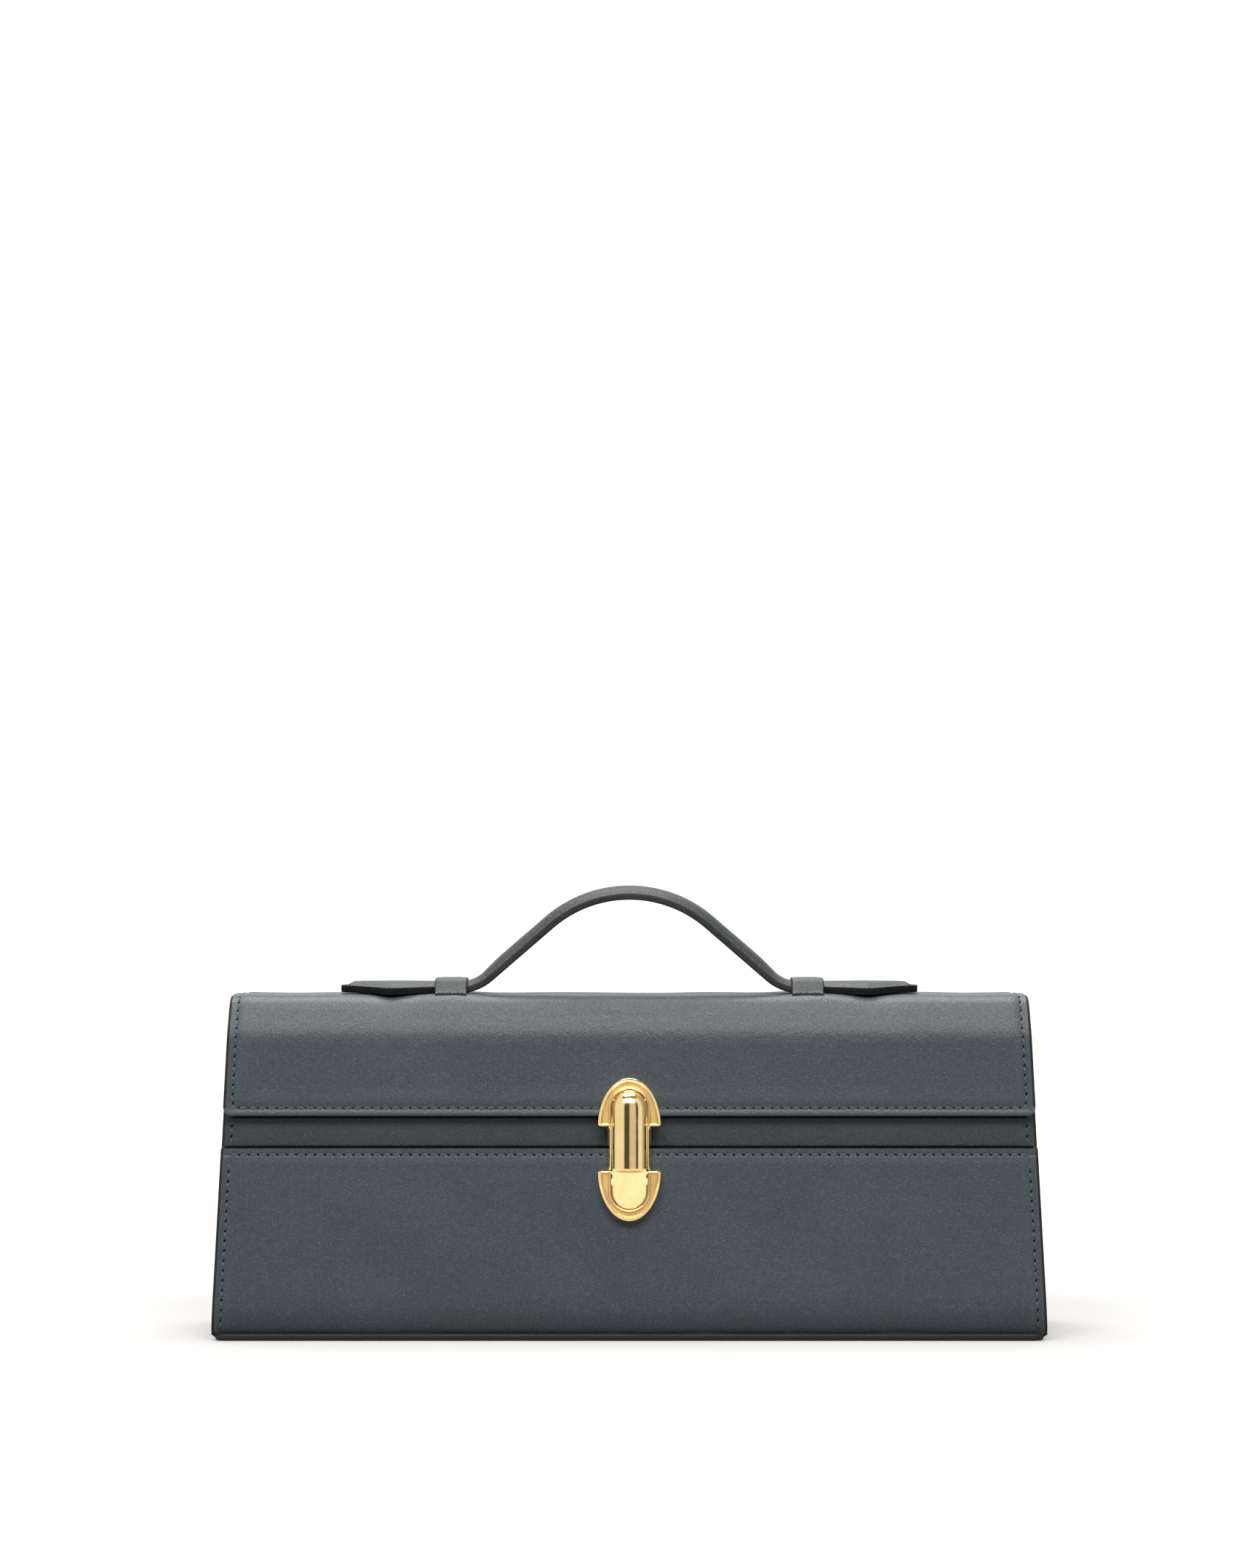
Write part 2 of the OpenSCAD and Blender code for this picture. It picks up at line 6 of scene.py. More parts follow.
import bmesh
import bpy
import numpy as np
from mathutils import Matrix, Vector

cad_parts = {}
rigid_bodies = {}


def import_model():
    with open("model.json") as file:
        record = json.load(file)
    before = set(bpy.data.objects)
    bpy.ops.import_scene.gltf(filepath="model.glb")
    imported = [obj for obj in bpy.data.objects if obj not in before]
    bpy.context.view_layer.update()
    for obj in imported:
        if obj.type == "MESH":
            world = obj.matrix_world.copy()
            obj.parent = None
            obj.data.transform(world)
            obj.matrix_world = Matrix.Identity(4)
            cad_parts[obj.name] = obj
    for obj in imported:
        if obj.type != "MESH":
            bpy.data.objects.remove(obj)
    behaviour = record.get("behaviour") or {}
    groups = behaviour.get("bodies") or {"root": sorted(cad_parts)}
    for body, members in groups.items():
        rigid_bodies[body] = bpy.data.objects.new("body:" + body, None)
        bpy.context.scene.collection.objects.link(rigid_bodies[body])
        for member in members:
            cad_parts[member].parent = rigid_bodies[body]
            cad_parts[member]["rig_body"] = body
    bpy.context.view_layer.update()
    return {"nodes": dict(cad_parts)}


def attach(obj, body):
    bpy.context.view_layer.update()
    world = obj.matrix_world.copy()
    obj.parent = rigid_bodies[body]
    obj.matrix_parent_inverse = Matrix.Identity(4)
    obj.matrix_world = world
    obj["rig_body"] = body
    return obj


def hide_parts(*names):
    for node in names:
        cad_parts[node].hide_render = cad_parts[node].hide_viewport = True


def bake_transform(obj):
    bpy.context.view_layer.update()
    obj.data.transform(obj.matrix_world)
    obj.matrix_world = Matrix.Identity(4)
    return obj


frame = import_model()

MM = 0.001

# Sizes of the CAD part, in millimetres
BODY_W, BODY_H, BODY_D = 270.0, 111.0, 60.0
CROWN_R, FLAT = 10.5, 14.6
CROWN_Z = BODY_H - CROWN_R
SIDE_LEAN = math.radians(2.6)
LEAN = math.atan2(BODY_D / 2 - FLAT / 2, CROWN_Z) - math.asin(
    CROWN_R / math.hypot(BODY_D / 2 - FLAT / 2, CROWN_Z)
)

# The leather's own line over the top: a soft bend above the wall, a slope, a bend to the flat
BEND_Z, BEND_R1, SLOPE_A, BEND_R2 = 97.3, 10.0, math.radians(25), 6.5
WALL_L = BEND_Z / math.cos(LEAN)
BEND_L1 = BEND_R1 * (SLOPE_A - LEAN)
SLOPE_L = (BODY_H - BEND_Z - BEND_R1 * (math.sin(SLOPE_A) - math.sin(LEAN))
           - BEND_R2 * (1 - math.sin(SLOPE_A))) / math.cos(SLOPE_A)
BEND_L2 = BEND_R2 * (math.pi / 2 - SLOPE_A)
FLAT_Y = (BODY_D / 2 - BEND_Z * math.tan(LEAN) - BEND_R1 * (math.cos(LEAN) - math.cos(SLOPE_A))
          - SLOPE_L * math.sin(SLOPE_A) - BEND_R2 * math.cos(SLOPE_A))
HALF_L = WALL_L + BEND_L1 + SLOPE_L + BEND_L2 + FLAT_Y
TOTAL = 2 * HALF_L
FLAP_Z, POCKET_Z, FOLD_Z, MOUTH_Z, GUSSET_Z = 73.0, 62.4, 92.0, 94.0, 101.0
BASE_T, BOARD_Z = 2.4, 4.4
LOCK_Z = 38.5
SEAM, EDGE_SEAM, PAINT = 2.6, 1.95, 0.95
PITCH = 3.1


def s_front(z):
    """Distance along the outline from the front foot to a height on the front wall."""
    return z / math.cos(LEAN)


def s_back(z):
    return TOTAL - z / math.cos(LEAN)


def outline(s):
    """Point and outward direction of the bag's side outline, from the front foot over the top."""
    s = np.asarray(s, float)
    back = s > TOTAL / 2
    t = np.where(back, TOTAL - s, s)
    a1 = np.clip(t - WALL_L, 0, BEND_L1) / BEND_R1
    slope = np.clip(t - WALL_L - BEND_L1, 0, SLOPE_L)
    a2 = np.clip(t - WALL_L - BEND_L1 - SLOPE_L, 0, BEND_L2) / BEND_R2
    wall = np.minimum(t, WALL_L)
    y = -BODY_D / 2 + wall * math.sin(LEAN)
    z = wall * math.cos(LEAN)
    y = y + BEND_R1 * (math.cos(LEAN) - np.cos(LEAN + a1)) + slope * math.sin(SLOPE_A)
    z = z + BEND_R1 * (np.sin(LEAN + a1) - math.sin(LEAN)) + slope * math.cos(SLOPE_A)
    y = y + BEND_R2 * (math.cos(SLOPE_A) - np.cos(SLOPE_A + a2))
    z = z + BEND_R2 * (np.sin(SLOPE_A + a2) - math.sin(SLOPE_A))
    y = y + np.clip(t - HALF_L + FLAT_Y, 0, None)
    a = LEAN + a1 + a2
    flip = np.where(back, -1.0, 1.0)
    return y * flip, z, -np.cos(a) * flip, np.sin(a)


def side_x(z, inset=0.0):
    return BODY_W / 2 - z * math.tan(SIDE_LEAN) - inset / math.cos(SIDE_LEAN)


def wall_y(z, depth):
    return -BODY_D / 2 + z * math.tan(LEAN) + depth / math.cos(LEAN)


def on_outline(x, s, h):
    """Place a point of a sheet: across, along the outline, and out of it."""
    y, z, ny, nz = outline(s)
    return np.stack([x + 0 * s, y + ny * h, z + nz * h], -1)


def step(a, b, v):
    """Smooth step from 0 at a to 1 at b."""
    t = np.clip((np.asarray(v, float) - a) / (b - a), 0, 1)
    return t * t * (3 - 2 * t)


def bump(v, centre, width):
    return np.exp(-(((v - centre) / width) ** 2))


def nearer(a, b):
    """The smaller of two distances, rounded where they are alike."""
    a, b = np.maximum(a, 1e-3), np.maximum(b, 1e-3)
    return (a**-5.0 + b**-5.0) ** (-1 / 5.0)


def wander(x, s, seed, size=38.0):
    """Slow uneven swell of hand-worked leather, from -1 to 1."""
    r = np.random.default_rng(seed)
    total = 0 * (x + s)
    for i in range(6):
        a = r.uniform(0, 2 * math.pi)
        f = 2 * math.pi / (size * r.uniform(0.6, 1.9))
        total = total + np.sin((x * math.cos(a) + s * math.sin(a)) * f + r.uniform(0, 6.28))
    return total / 4.0


# ---------------------------------------------------------------- materials


class Nodes:
    """Short way to write a node tree."""

    def __init__(self, name):
        self.mat = bpy.data.materials.new(name)
        self.mat.use_nodes = True
        self.tree = self.mat.node_tree
        self.tree.nodes.clear()
        self.out = self.tree.nodes.new("ShaderNodeOutputMaterial")
        self.place = self.add("ShaderNodeTexCoord").outputs["Object"]

    def add(self, kind, **inputs):
        node = self.tree.nodes.new(kind)
        for key, value in inputs.items():
            self.feed(node, key, value)
        return node

    def feed(self, node, key, value):
        socket = node.inputs[key]
        if hasattr(value, "is_output"):
            self.tree.links.new(value, socket)
        else:
            socket.default_value = value

    def scaled(self, x, y, z):
        node = self.add("ShaderNodeMapping", Vector=self.place)
        node.inputs["Scale"].default_value = (x, y, z)
        return node.outputs["Vector"]

    def noise(self, scale, detail=3.0, rough=0.55, at=None, distort=0.0):
        node = self.add("ShaderNodeTexNoise", Vector=at or self.place, Scale=scale)
        node.inputs["Detail"].default_value = detail
        node.inputs["Roughness"].default_value = rough
        node.inputs["Distortion"].default_value = distort
        return node.outputs["Fac"]

    def cells(self, scale, feature="F1", at=None, jitter=1.0):
        node = self.add("ShaderNodeTexVoronoi", Vector=at or self.place, Scale=scale)
        node.feature = feature
        node.inputs["Randomness"].default_value = jitter
        return node.outputs["Distance"]

    def wave(self, scale, axis, at=None, distort=0.0):
        node = self.add("ShaderNodeTexWave", Vector=at or self.place, Scale=scale)
        node.bands_direction = axis
        node.inputs["Distortion"].default_value = distort
        return node.outputs["Fac"]

    def math(self, op, a, b=0.5, clamp=False):
        node = self.tree.nodes.new("ShaderNodeMath")
        node.operation, node.use_clamp = op, clamp
        for socket, value in zip(node.inputs, (a, b)):
            if hasattr(value, "is_output"):
                self.tree.links.new(value, socket)
            else:
                socket.default_value = value
        return node.outputs[0]

    def span(self, value, a, b, c, d):
        node = self.add("ShaderNodeMapRange", Value=value)
        for key, v in zip(("From Min", "From Max", "To Min", "To Max"), (a, b, c, d)):
            node.inputs[key].default_value = v
        return node.outputs["Result"]

    def blend(self, factor, a, b):
        node = self.tree.nodes.new("ShaderNodeMix")
        node.data_type = "RGBA"
        for socket, value in zip((node.inputs[0], node.inputs[6], node.inputs[7]), (factor, a, b)):
            if hasattr(value, "is_output"):
                self.tree.links.new(value, socket)
            else:
                socket.default_value = value
        return node.outputs[2]

    def attribute(self, name):
        node = self.tree.nodes.new("ShaderNodeAttribute")
        node.attribute_name = name
        return node.outputs["Fac"]

    def surface(self, colour, rough, height=None, depth=0.0001, strength=1.0, **constant):
        shader = self.add("ShaderNodeBsdfPrincipled")
        self.feed(shader, "Base Color", colour)
        self.feed(shader, "Roughness", rough)
        for key, value in constant.items():
            shader.inputs[key.replace("_", " ")].default_value = value
        if height is not None:
            relief = self.add("ShaderNodeBump", Height=height)
            relief.inputs["Distance"].default_value = depth
            relief.inputs["Strength"].default_value = strength
            self.tree.links.new(relief.outputs["Normal"], shader.inputs["Normal"])
        self.tree.links.new(shader.outputs[0], self.out.inputs["Surface"])
        return self.mat


def rgb(r, g, b):
    """Linear colour of an sRGB one that runs from 0 to 255."""
    def linear(v):
        v /= 255
        return v / 12.92 if v <= 0.04045 else ((v + 0.055) / 1.055) ** 2.4
    return (linear(r), linear(g), linear(b), 1.0)


def leather(name, colour, light, dark, rough=0.4, grain=1700.0, relief=0.00013):
    """Fine calf leather with soft upright creases, paler and smoother at worn edges and at painted
    highlights.
    """
    n = Nodes(name)
    pebble = n.cells(grain * 1.35)
    fine = n.noise(grain, 3.0, 0.62)
    crease = n.noise(1.0, 2.0, 0.55, at=n.scaled(grain * 0.75, grain * 0.75, grain * 0.24))
    cloud = n.noise(26.0, 4.0, 0.6, distort=0.4)
    base = n.blend(n.span(cloud, 0.2, 0.8, 0.3, 1.0), dark, colour)
    base = n.blend(n.span(fine, 0.5, 0.72, 0.0, 0.9), base, light)
    base = n.blend(n.span(fine, 0.28, 0.5, 0.9, 0.0), base, dark)
    base = n.blend(n.span(crease, 0.3, 0.5, 0.5, 0.0), base, dark)
    # this attribute carries real edge wear and painted highlights: bands beside seams, strap bevels
    # and crests, tab domes, the flap's rolled edge
    wear_and_sheen = n.attribute("wear_and_sheen")
    base = n.blend(n.math("MULTIPLY", wear_and_sheen, 0.5, True), base, light)
    gloss = n.math("ADD", n.span(cloud, 0.3, 0.7, rough - 0.03, rough + 0.04),
                   n.span(fine, 0.3, 0.7, 0.05, -0.05))
    gloss = n.math("SUBTRACT", gloss, n.math("MULTIPLY", wear_and_sheen, 0.08))
    height = n.math("SUBTRACT", fine, n.math("MULTIPLY", pebble, 0.4))
    height = n.math("ADD", height, n.math("MULTIPLY", crease, 0.8))
    height = n.math("ADD", height, n.math("MULTIPLY", n.noise(260.0, 3.0), 1.1))
    return n.surface(base, gloss, height, relief, 0.85, Specular_IOR_Level=0.5, IOR=1.45,
                     Specular_Tint=(1.0, 0.95, 0.88, 1.0))


def edge_paint(name, colour, light, level=0.22):
    """Layered, painted and burnished edge of the leather."""
    n = Nodes(name)
    layer = n.noise(1.0, 3.0, 0.6, at=n.scaled(160, 160, 160))
    fine = n.noise(1900.0, 2.0)
    base = n.blend(n.span(layer, 0.35, 0.7, 0.0, 0.8), colour, light)
    gloss = n.span(fine, 0.3, 0.7, 0.5, 0.65)
    height = n.math("ADD", n.math("MULTIPLY", layer, 1.4), n.math("MULTIPLY", fine, 0.3))
    return n.surface(base, gloss, height, 0.00008, 0.7, Specular_IOR_Level=level, IOR=1.45)


def woven(name, colour, light):
    """Plain cotton lining."""
    n = Nodes(name)
    warp = n.wave(820.0, "X")
    weft = n.wave(820.0, "Z")
    depthwise = n.wave(820.0, "Y")
    weave = n.math("MULTIPLY", n.math("ADD", warp, depthwise), weft)
    cloud = n.noise(45.0, 3.0)
    base = n.blend(n.span(weave, 0.2, 1.4, 0.0, 0.1), colour, light)
    base = n.blend(n.span(cloud, 0.35, 0.7, 0.0, 0.3), base, light)
    gloss = n.span(cloud, 0.3, 0.7, 0.78, 0.9)
    return n.surface(base, gloss, weave, 0.00004, 0.5, Sheen_Weight=0.2)


def metal(name, colour, light, low, high, scale, stretch, relief):
    n = Nodes(name)
    brushed = n.noise(1.0, 3.0, 0.6, at=n.scaled(*[scale * v for v in stretch]))
    cloud = n.noise(180.0, 3.0)
    fine = n.noise(2600.0, 2.0)
    base = n.blend(n.span(cloud, 0.35, 0.7, 0.0, 1.0), colour, light)
    gloss = n.math("ADD", n.span(brushed, 0.3, 0.7, low, high), n.math("MULTIPLY", cloud, 0.03))
    height = n.math("ADD", brushed, n.math("MULTIPLY", fine, 0.5))
    return n.surface(base, gloss, height, relief, 0.4, Metallic=1.0)


def board_material():
    n = Nodes("board")
    fibre = n.noise(1.0, 4.0, 0.6, at=n.scaled(300, 900, 900))
    base = n.blend(n.span(fibre, 0.3, 0.7, 0.0, 1.0), rgb(66, 70, 72), rgb(82, 86, 88))
    return n.surface(base, n.span(fibre, 0.3, 0.7, 0.8, 0.9), fibre, 0.0001, 0.5)


def thread_material(name, colour, light):
    n = Nodes(name)
    twist = n.noise(1.0, 2.0, 0.5, at=n.scaled(2400, 2400, 2400))
    base = n.blend(n.span(twist, 0.35, 0.65, 0.0, 1.0), colour, light)
    return n.surface(base, n.span(twist, 0.3, 0.7, 0.5, 0.65), twist, 0.00006, 0.8,
                     Sheen_Weight=0.15)


BODY_TONES = (rgb(70, 81, 89), rgb(92, 102, 108), rgb(56, 66, 75))
# darker copy of the body leather for the front wall under the flap: painted shade
WALL_SHADE_TONES = (rgb(56, 66, 72), rgb(74, 84, 88), rgb(45, 54, 61))
M = {
    "leather": leather("leather", *BODY_TONES),
    "inner": leather("inner", *WALL_SHADE_TONES),
    # darker copy of the strap leather for the handle's arch: painted shade
    "strap_shaded": leather("strap_shaded", rgb(52, 59, 62), rgb(70, 77, 80), rgb(41, 47, 50),
                          rough=0.48),
    "strap": leather("strap", rgb(66, 74, 79), rgb(86, 94, 98), rgb(52, 60, 65), rough=0.48),
    "edge": edge_paint("edge", rgb(48, 49, 48), rgb(66, 64, 60)),
    # the tab's edge paint is darker than the strap's: dark paint plus painted shade under the
    # lifted tab
    "edge_tab": edge_paint("edge_tab", rgb(12, 13, 13), rgb(24, 25, 23), level=0.14),
    "edge_dark": edge_paint("edge_dark", rgb(8, 9, 11), rgb(16, 16, 17)),
    # near-black gap: dark edge paint together with painted shade of the gaps under the flap and
    # above the pocket
    "gap": edge_paint("gap", rgb(2, 3, 4), rgb(6, 7, 8), level=0.05),
    "edge_brown": edge_paint("edge_brown", rgb(38, 34, 30), rgb(56, 48, 40)),
    # paler copy of the body leather for the flap's rolled edge: partly burnished edge, partly
    # painted highlight
    "turned": leather("turned", rgb(80, 90, 95), rgb(100, 109, 112), rgb(70, 79, 85), rough=0.5),
    # near-black sole: dark painted edge, and painted shade at the bag's foot
    "sole": leather("sole", rgb(24, 27, 29), rgb(38, 41, 43), rgb(18, 20, 22), rough=0.6),
    "lining": woven("lining", rgb(92, 99, 105), rgb(120, 127, 132)),
    "thread": thread_material("thread", rgb(70, 78, 83), rgb(100, 108, 111)),
    "hole_shade": edge_paint("hole_shade", rgb(1, 2, 2), rgb(5, 6, 7), level=0.05),
    "board": board_material(),
    "gold": metal("gold", (0.88, 0.64, 0.29, 1), (0.93, 0.71, 0.36, 1), 0.08, 0.15, 900,
                  (1, 1, 0.25), 0.000012),
    "gold_matte": metal("gold_matte", (0.57, 0.39, 0.14, 1), (0.67, 0.47, 0.18, 1), 0.45, 0.58,
                        2200, (1, 1, 1), 0.00004),
    "steel": metal("steel", (0.55, 0.55, 0.56, 1), (0.66, 0.66, 0.67, 1), 0.22, 0.34, 900,
                   (1, 1, 1), 0.00002),
    "magnet": metal("magnet", (0.3, 0.3, 0.31, 1), (0.38, 0.38, 0.39, 1), 0.35, 0.5, 900,
                    (1, 1, 1), 0.00002),
}


# ---------------------------------------------------------------- mesh tools


def piece(name, points, faces, mats, index=None, wear_and_sheen=None, sharp=None):
    """A smooth mesh object from points in millimetres, with its faces turned outwards."""
    mesh = bpy.data.meshes.new(name)
    mesh.from_pydata((np.asarray(points, float) * MM).tolist(), [], faces)
    for m in mats:
        mesh.materials.append(M[m])
    if index is not None:
        mesh.polygons.foreach_set("material_index", np.asarray(index, np.int32))
    if wear_and_sheen is not None:
        layer = mesh.attributes.new("wear_and_sheen", "FLOAT", "POINT")
        layer.data.foreach_set("value", np.asarray(wear_and_sheen, np.float32))
    bm = bmesh.new()
    bm.from_mesh(mesh)
    bmesh.ops.recalc_face_normals(bm, faces=bm.faces)
    bm.to_mesh(mesh)
    bm.free()
    mesh.shade_smooth()
    if sharp:
        mesh.set_sharp_from_angle(angle=math.radians(sharp))
    obj = bpy.data.objects.new(name, mesh)
    bpy.context.scene.collection.objects.link(obj)
    return obj


def spread(edge_a, edge_b, length, pitch, near=(0, 0.3, 0.65, 1.0, 1.35, 1.7, 2.0, 2.25, 2.5,
                                                2.75, 3.0, 3.35, 3.8, 4.4, 5.2, 6.3, 7.8, 10, 13)):
    """Places from 0 to length, close together near an edge that is sewn."""
    a = [v for v in near if v < length / 2] if edge_a else [0.0]
    b = [length - v for v in near if v < length / 2] if edge_b else [length]
    count = max(2, int(round((b[-1] - a[-1]) / pitch)) + 1)
    middle = list(np.linspace(a[-1], b[-1], count))
    return np.array(sorted(set(np.round(a + middle + b, 5))))


def across(rows_half, pitch=6.0, margin=13.0):
    """Columns from one side edge to the other: fixed distances from each edge, then even."""
    near = spread(True, False, 2 * margin, 99)[:-1]
    near = near[near < margin + 1e-6]
    count = int(round((2 * rows_half.mean() - 2 * margin) / pitch)) + 1
    even = np.linspace(-1, 1, count)[1:-1]
    left = -rows_half[:, None] + near[None, :]
    middle = (rows_half[:, None] - margin) * even[None, :]
    return np.concatenate([left, middle, -left[:, ::-1]], axis=1)


def shell(name, X, S, top, bottom, place, mats, bulge=0.5, turns=6, square=0.6, wear_and_sheen=None,
          keep=None, rim=None, tilt=None, paint=None):
    """Closed sheet between two height fields on a grid, with a rounded edge all round."""
    R, C = X.shape
    loop = [(0, c) for c in range(C)] + [(r, C - 1) for r in range(1, R)]
    loop += [(R - 1, c) for c in range(C - 2, -1, -1)] + [(r, 0) for r in range(R - 2, 0, -1)]
    rr, cc = np.array(loop).T
    lx, ls = X[rr, cc], S[rr, cc]
    tx, ts = np.roll(lx, -1) - np.roll(lx, 1), np.roll(ls, -1) - np.roll(ls, 1)
    size = np.maximum(np.hypot(tx, ts), 1e-9)
    area = np.sum(lx * np.roll(ls, -1) - np.roll(lx, -1) * ls)
    turn = 1.0 if area > 0 else -1.0
    ox, os_ = turn * ts / size, -turn * tx / size
    out = bulge * (np.ones(len(loop)) if keep is None else keep(rr, cc))
    points = [place(X, S, top).reshape(-1, 3), place(X, S, bottom).reshape(-1, 3)]
    rows = [rr * C + cc]
    total = 2 * R * C
    lt, lb = top[rr, cc], bottom[rr, cc]
    for k in range(1, turns):
        a = math.pi * k / turns
        reach = out * math.sin(a) ** square
        if tilt is not None:
            reach = reach + tilt(rr, cc) * (k / turns) ** 1.5
        height = lb + (lt - lb) * (1 + math.copysign(abs(math.cos(a)) ** square, math.cos(a))) / 2
        points.append(place(lx + ox * reach, ls + os_ * reach, height))
        rows.append(np.arange(total, total + len(loop)))
        total += len(loop)
    rows.append(rr * C + cc + R * C)
    faces, index = [], []
    for r in range(R - 1):
        for c in range(C - 1):
            q = [r * C + c, r * C + c + 1, (r + 1) * C + c + 1, (r + 1) * C + c]
            faces += [q, [v + R * C for v in reversed(q)]]
            index += [0 if paint is None else int(paint[r, c]), 2]
    n = len(loop)
    for k, (a, b) in enumerate(zip(rows, rows[1:])):
        for i in range(n):
            j = (i + 1) % n
            faces.append([int(a[i]), int(a[j]), int(b[j]), int(b[i])])
            index.append(1 if rim is None else rim(k, rr[i], cc[i]))
    # rim points get the full paler mark: edge wear, and on the flap's leather rim also a painted
    # highlight
    w = np.ones(total)
    w[:R * C] = 0 if wear_and_sheen is None else wear_and_sheen.ravel()
    w[R * C:2 * R * C] = 0
    return piece(name, np.concatenate(points), faces, mats, index, w)


def loft(name, rings, mats, index=None, wear_and_sheen=None, caps=(True, True), closed=True, sharp=None):
    """Surface through rings of equal count, closed at its ends."""
    n = len(rings[0])
    faces, kinds = [], []
    for k in range(len(rings) - 1):
        for i in range(n if closed else n - 1):
            j = (i + 1) % n
            faces.append([k * n + i, k * n + j, (k + 1) * n + j, (k + 1) * n + i])
            kinds.append(0 if index is None else index(k, i))
    if caps[0]:
        faces.append(list(range(n)))
        kinds.append(0 if index is None else index(0, 0))
    if caps[1]:
        faces.append([(len(rings) - 1) * n + i for i in range(n)])
        kinds.append(0 if index is None else index(len(rings) - 2, 0))
    return piece(name, np.concatenate(rings), faces, mats, kinds, wear_and_sheen, sharp)


def resample(points, gap):
    """Points a fixed distance apart along a line, and how many there are."""
    points = np.asarray(points, float)
    seg = np.linalg.norm(np.diff(points, axis=0), axis=1)
    at = np.concatenate([[0], np.cumsum(seg)])
    count = max(2, int(round(at[-1] / gap)))
    want = (np.arange(count) + 0.5) * at[-1] / count
    return np.stack([np.interp(want, at, points[:, i]) for i in range(points.shape[1])], -1)


def stitches(name, plan, place, height, body, pitch=PITCH, length=2.0, radius=0.27, slant=10.0,
             lift=0.12, slot="strap", slit=0.55, slit_turn=38.0):
    """A row of sewn stitches along a line of a sheet, with the slanted slits that they go into,
    drawn as flat near-black discs that paint the shade in the holes.
    """
    at = resample(plan, pitch)
    eps = 0.05
    points, faces, index = [], [], []
    sides, steps = 6, 7
    h = height(at[:, 0], at[:, 1]) if callable(height) else np.full(len(at), float(height))
    p = place(at[:, 0], at[:, 1], h)
    px = place(at[:, 0] + eps, at[:, 1], h) - p
    ps = place(at[:, 0], at[:, 1] + eps, h) - p
    up = place(at[:, 0], at[:, 1], h + eps) - p
    d = np.gradient(at, axis=0)
    rng = np.random.default_rng(len(at))
    for i in range(len(at)):
        n = up[i] / np.linalg.norm(up[i])
        t = px[i] * d[i, 0] + ps[i] * d[i, 1]
        t = t - n * (t @ n)
        t /= np.linalg.norm(t)
        b = np.cross(n, t)
        a = math.radians(slant + rng.uniform(-2, 2))
        along = t * math.cos(a) + b * math.sin(a)
        side = np.cross(n, along)
        base = len(points)
        for k in range(steps):
            q = -1 + 2 * k / (steps - 1)
            c = p[i] + along * q * length / 2 + n * (lift - 0.55 * abs(q) ** 4)
            r = radius * (1.0 - 0.22 * q * q)
            for j in range(sides):
                w = 2 * math.pi * j / sides
                points.append(c + side * r * math.cos(w) + n * r * 0.85 * math.sin(w))
        for k in range(steps - 1):
            for j in range(sides):
                m = (j + 1) % sides
                faces.append([base + k * sides + j, base + k * sides + m,
                              base + (k + 1) * sides + m, base + (k + 1) * sides + j])
                index.append(0)
        for k in (0, steps - 1):
            faces.append([base + k * sides + j for j in range(sides)])
            index.append(0)
    gaps = (at[1:] + at[:-1]) / 2
    level = (h[1:] + h[:-1]) / 2
    if callable(height):
        level = height(gaps[:, 0], gaps[:, 1])
    # each slit is a flat near-black disc just above the leather: painted shade of the hole
    centres = place(gaps[:, 0], gaps[:, 1], level + 0.07)
    for i, c in enumerate(centres):
        n = up[i] / np.linalg.norm(up[i])
        t = p[i + 1] - p[i]
        t = t - n * (t @ n)
        t /= np.linalg.norm(t)
        b = np.cross(n, t)
        a = math.radians(-slit_turn)
        along, side = t * math.cos(a) + b * math.sin(a), b * math.cos(a) - t * math.sin(a)
        base = len(points)
        for w in range(10):
            v = 2 * math.pi * w / 10
            points.append(c + along * slit * math.cos(v) + side * 0.28 * math.sin(v))
        faces.append(list(range(base, base + 10)))
        index.append(1)
    obj = piece(name, points, faces, ["thread", "hole_shade"], index)
    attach(obj, body)
    return obj


def sewn(d, line=SEAM, press=0.26, puff=0.1):
    """Height of leather at a distance from a sewn edge: pressed flat, a groove, then full."""
    d = np.asarray(d, float)
    h = -press * (1 - step(line + 0.1, line + 2.6, d))
    h = h - 0.14 * bump(d, line, 0.45)
    h = h + puff * bump(d, line + 3.0, 2.1)
    return h


def wear_and_seam_sheen(d):
    """Wear of the leather near its edge, and a painted highlight in a band just inside the stitch
    line.
    """
    return 0.9 * bump(d, 0.0, 0.7) + 0.35 * bump(d, SEAM + 1.8, 0.9)


# ---------------------------------------------------------------- flap


def sheet_grid(s0, s1, sewn_a, sewn_b, inset, pitch_s, corner_a=0.0, corner_b=0.0):
    """Grid on the outline between two places, with its side edges on the leaning side planes."""
    rows = s0 + spread(sewn_a, sewn_b, s1 - s0, pitch_s)
    if corner_a:
        bend = s0 + corner_a * (1 - np.cos(np.linspace(0, math.pi / 2, 7)))
        rows = np.concatenate([bend, rows[rows > s0 + corner_a + 0.05]])
    if corner_b:
        bend = s1 - corner_b * (1 - np.cos(np.linspace(math.pi / 2, 0, 7)))
        rows = np.concatenate([rows[rows < s1 - corner_b - 0.05], bend])
    half = side_x(outline(rows)[1], inset)
    cut = np.zeros(len(rows))
    if corner_a:
        t = np.clip(rows - s0, 0, corner_a)
        cut = np.maximum(cut, corner_a - np.sqrt(np.maximum(corner_a**2 - (corner_a - t)**2, 0)))
    if corner_b:
        t = np.clip(s1 - rows, 0, corner_b)
        cut = np.maximum(cut, corner_b - np.sqrt(np.maximum(corner_b**2 - (corner_b - t)**2, 0)))
    X = across(half)
    X = X * ((half - cut) / half)[:, None]
    return X, np.repeat(rows[:, None], X.shape[1], axis=1)


def side_distance(X, S):
    return side_x(outline(S)[1]) - np.abs(X)


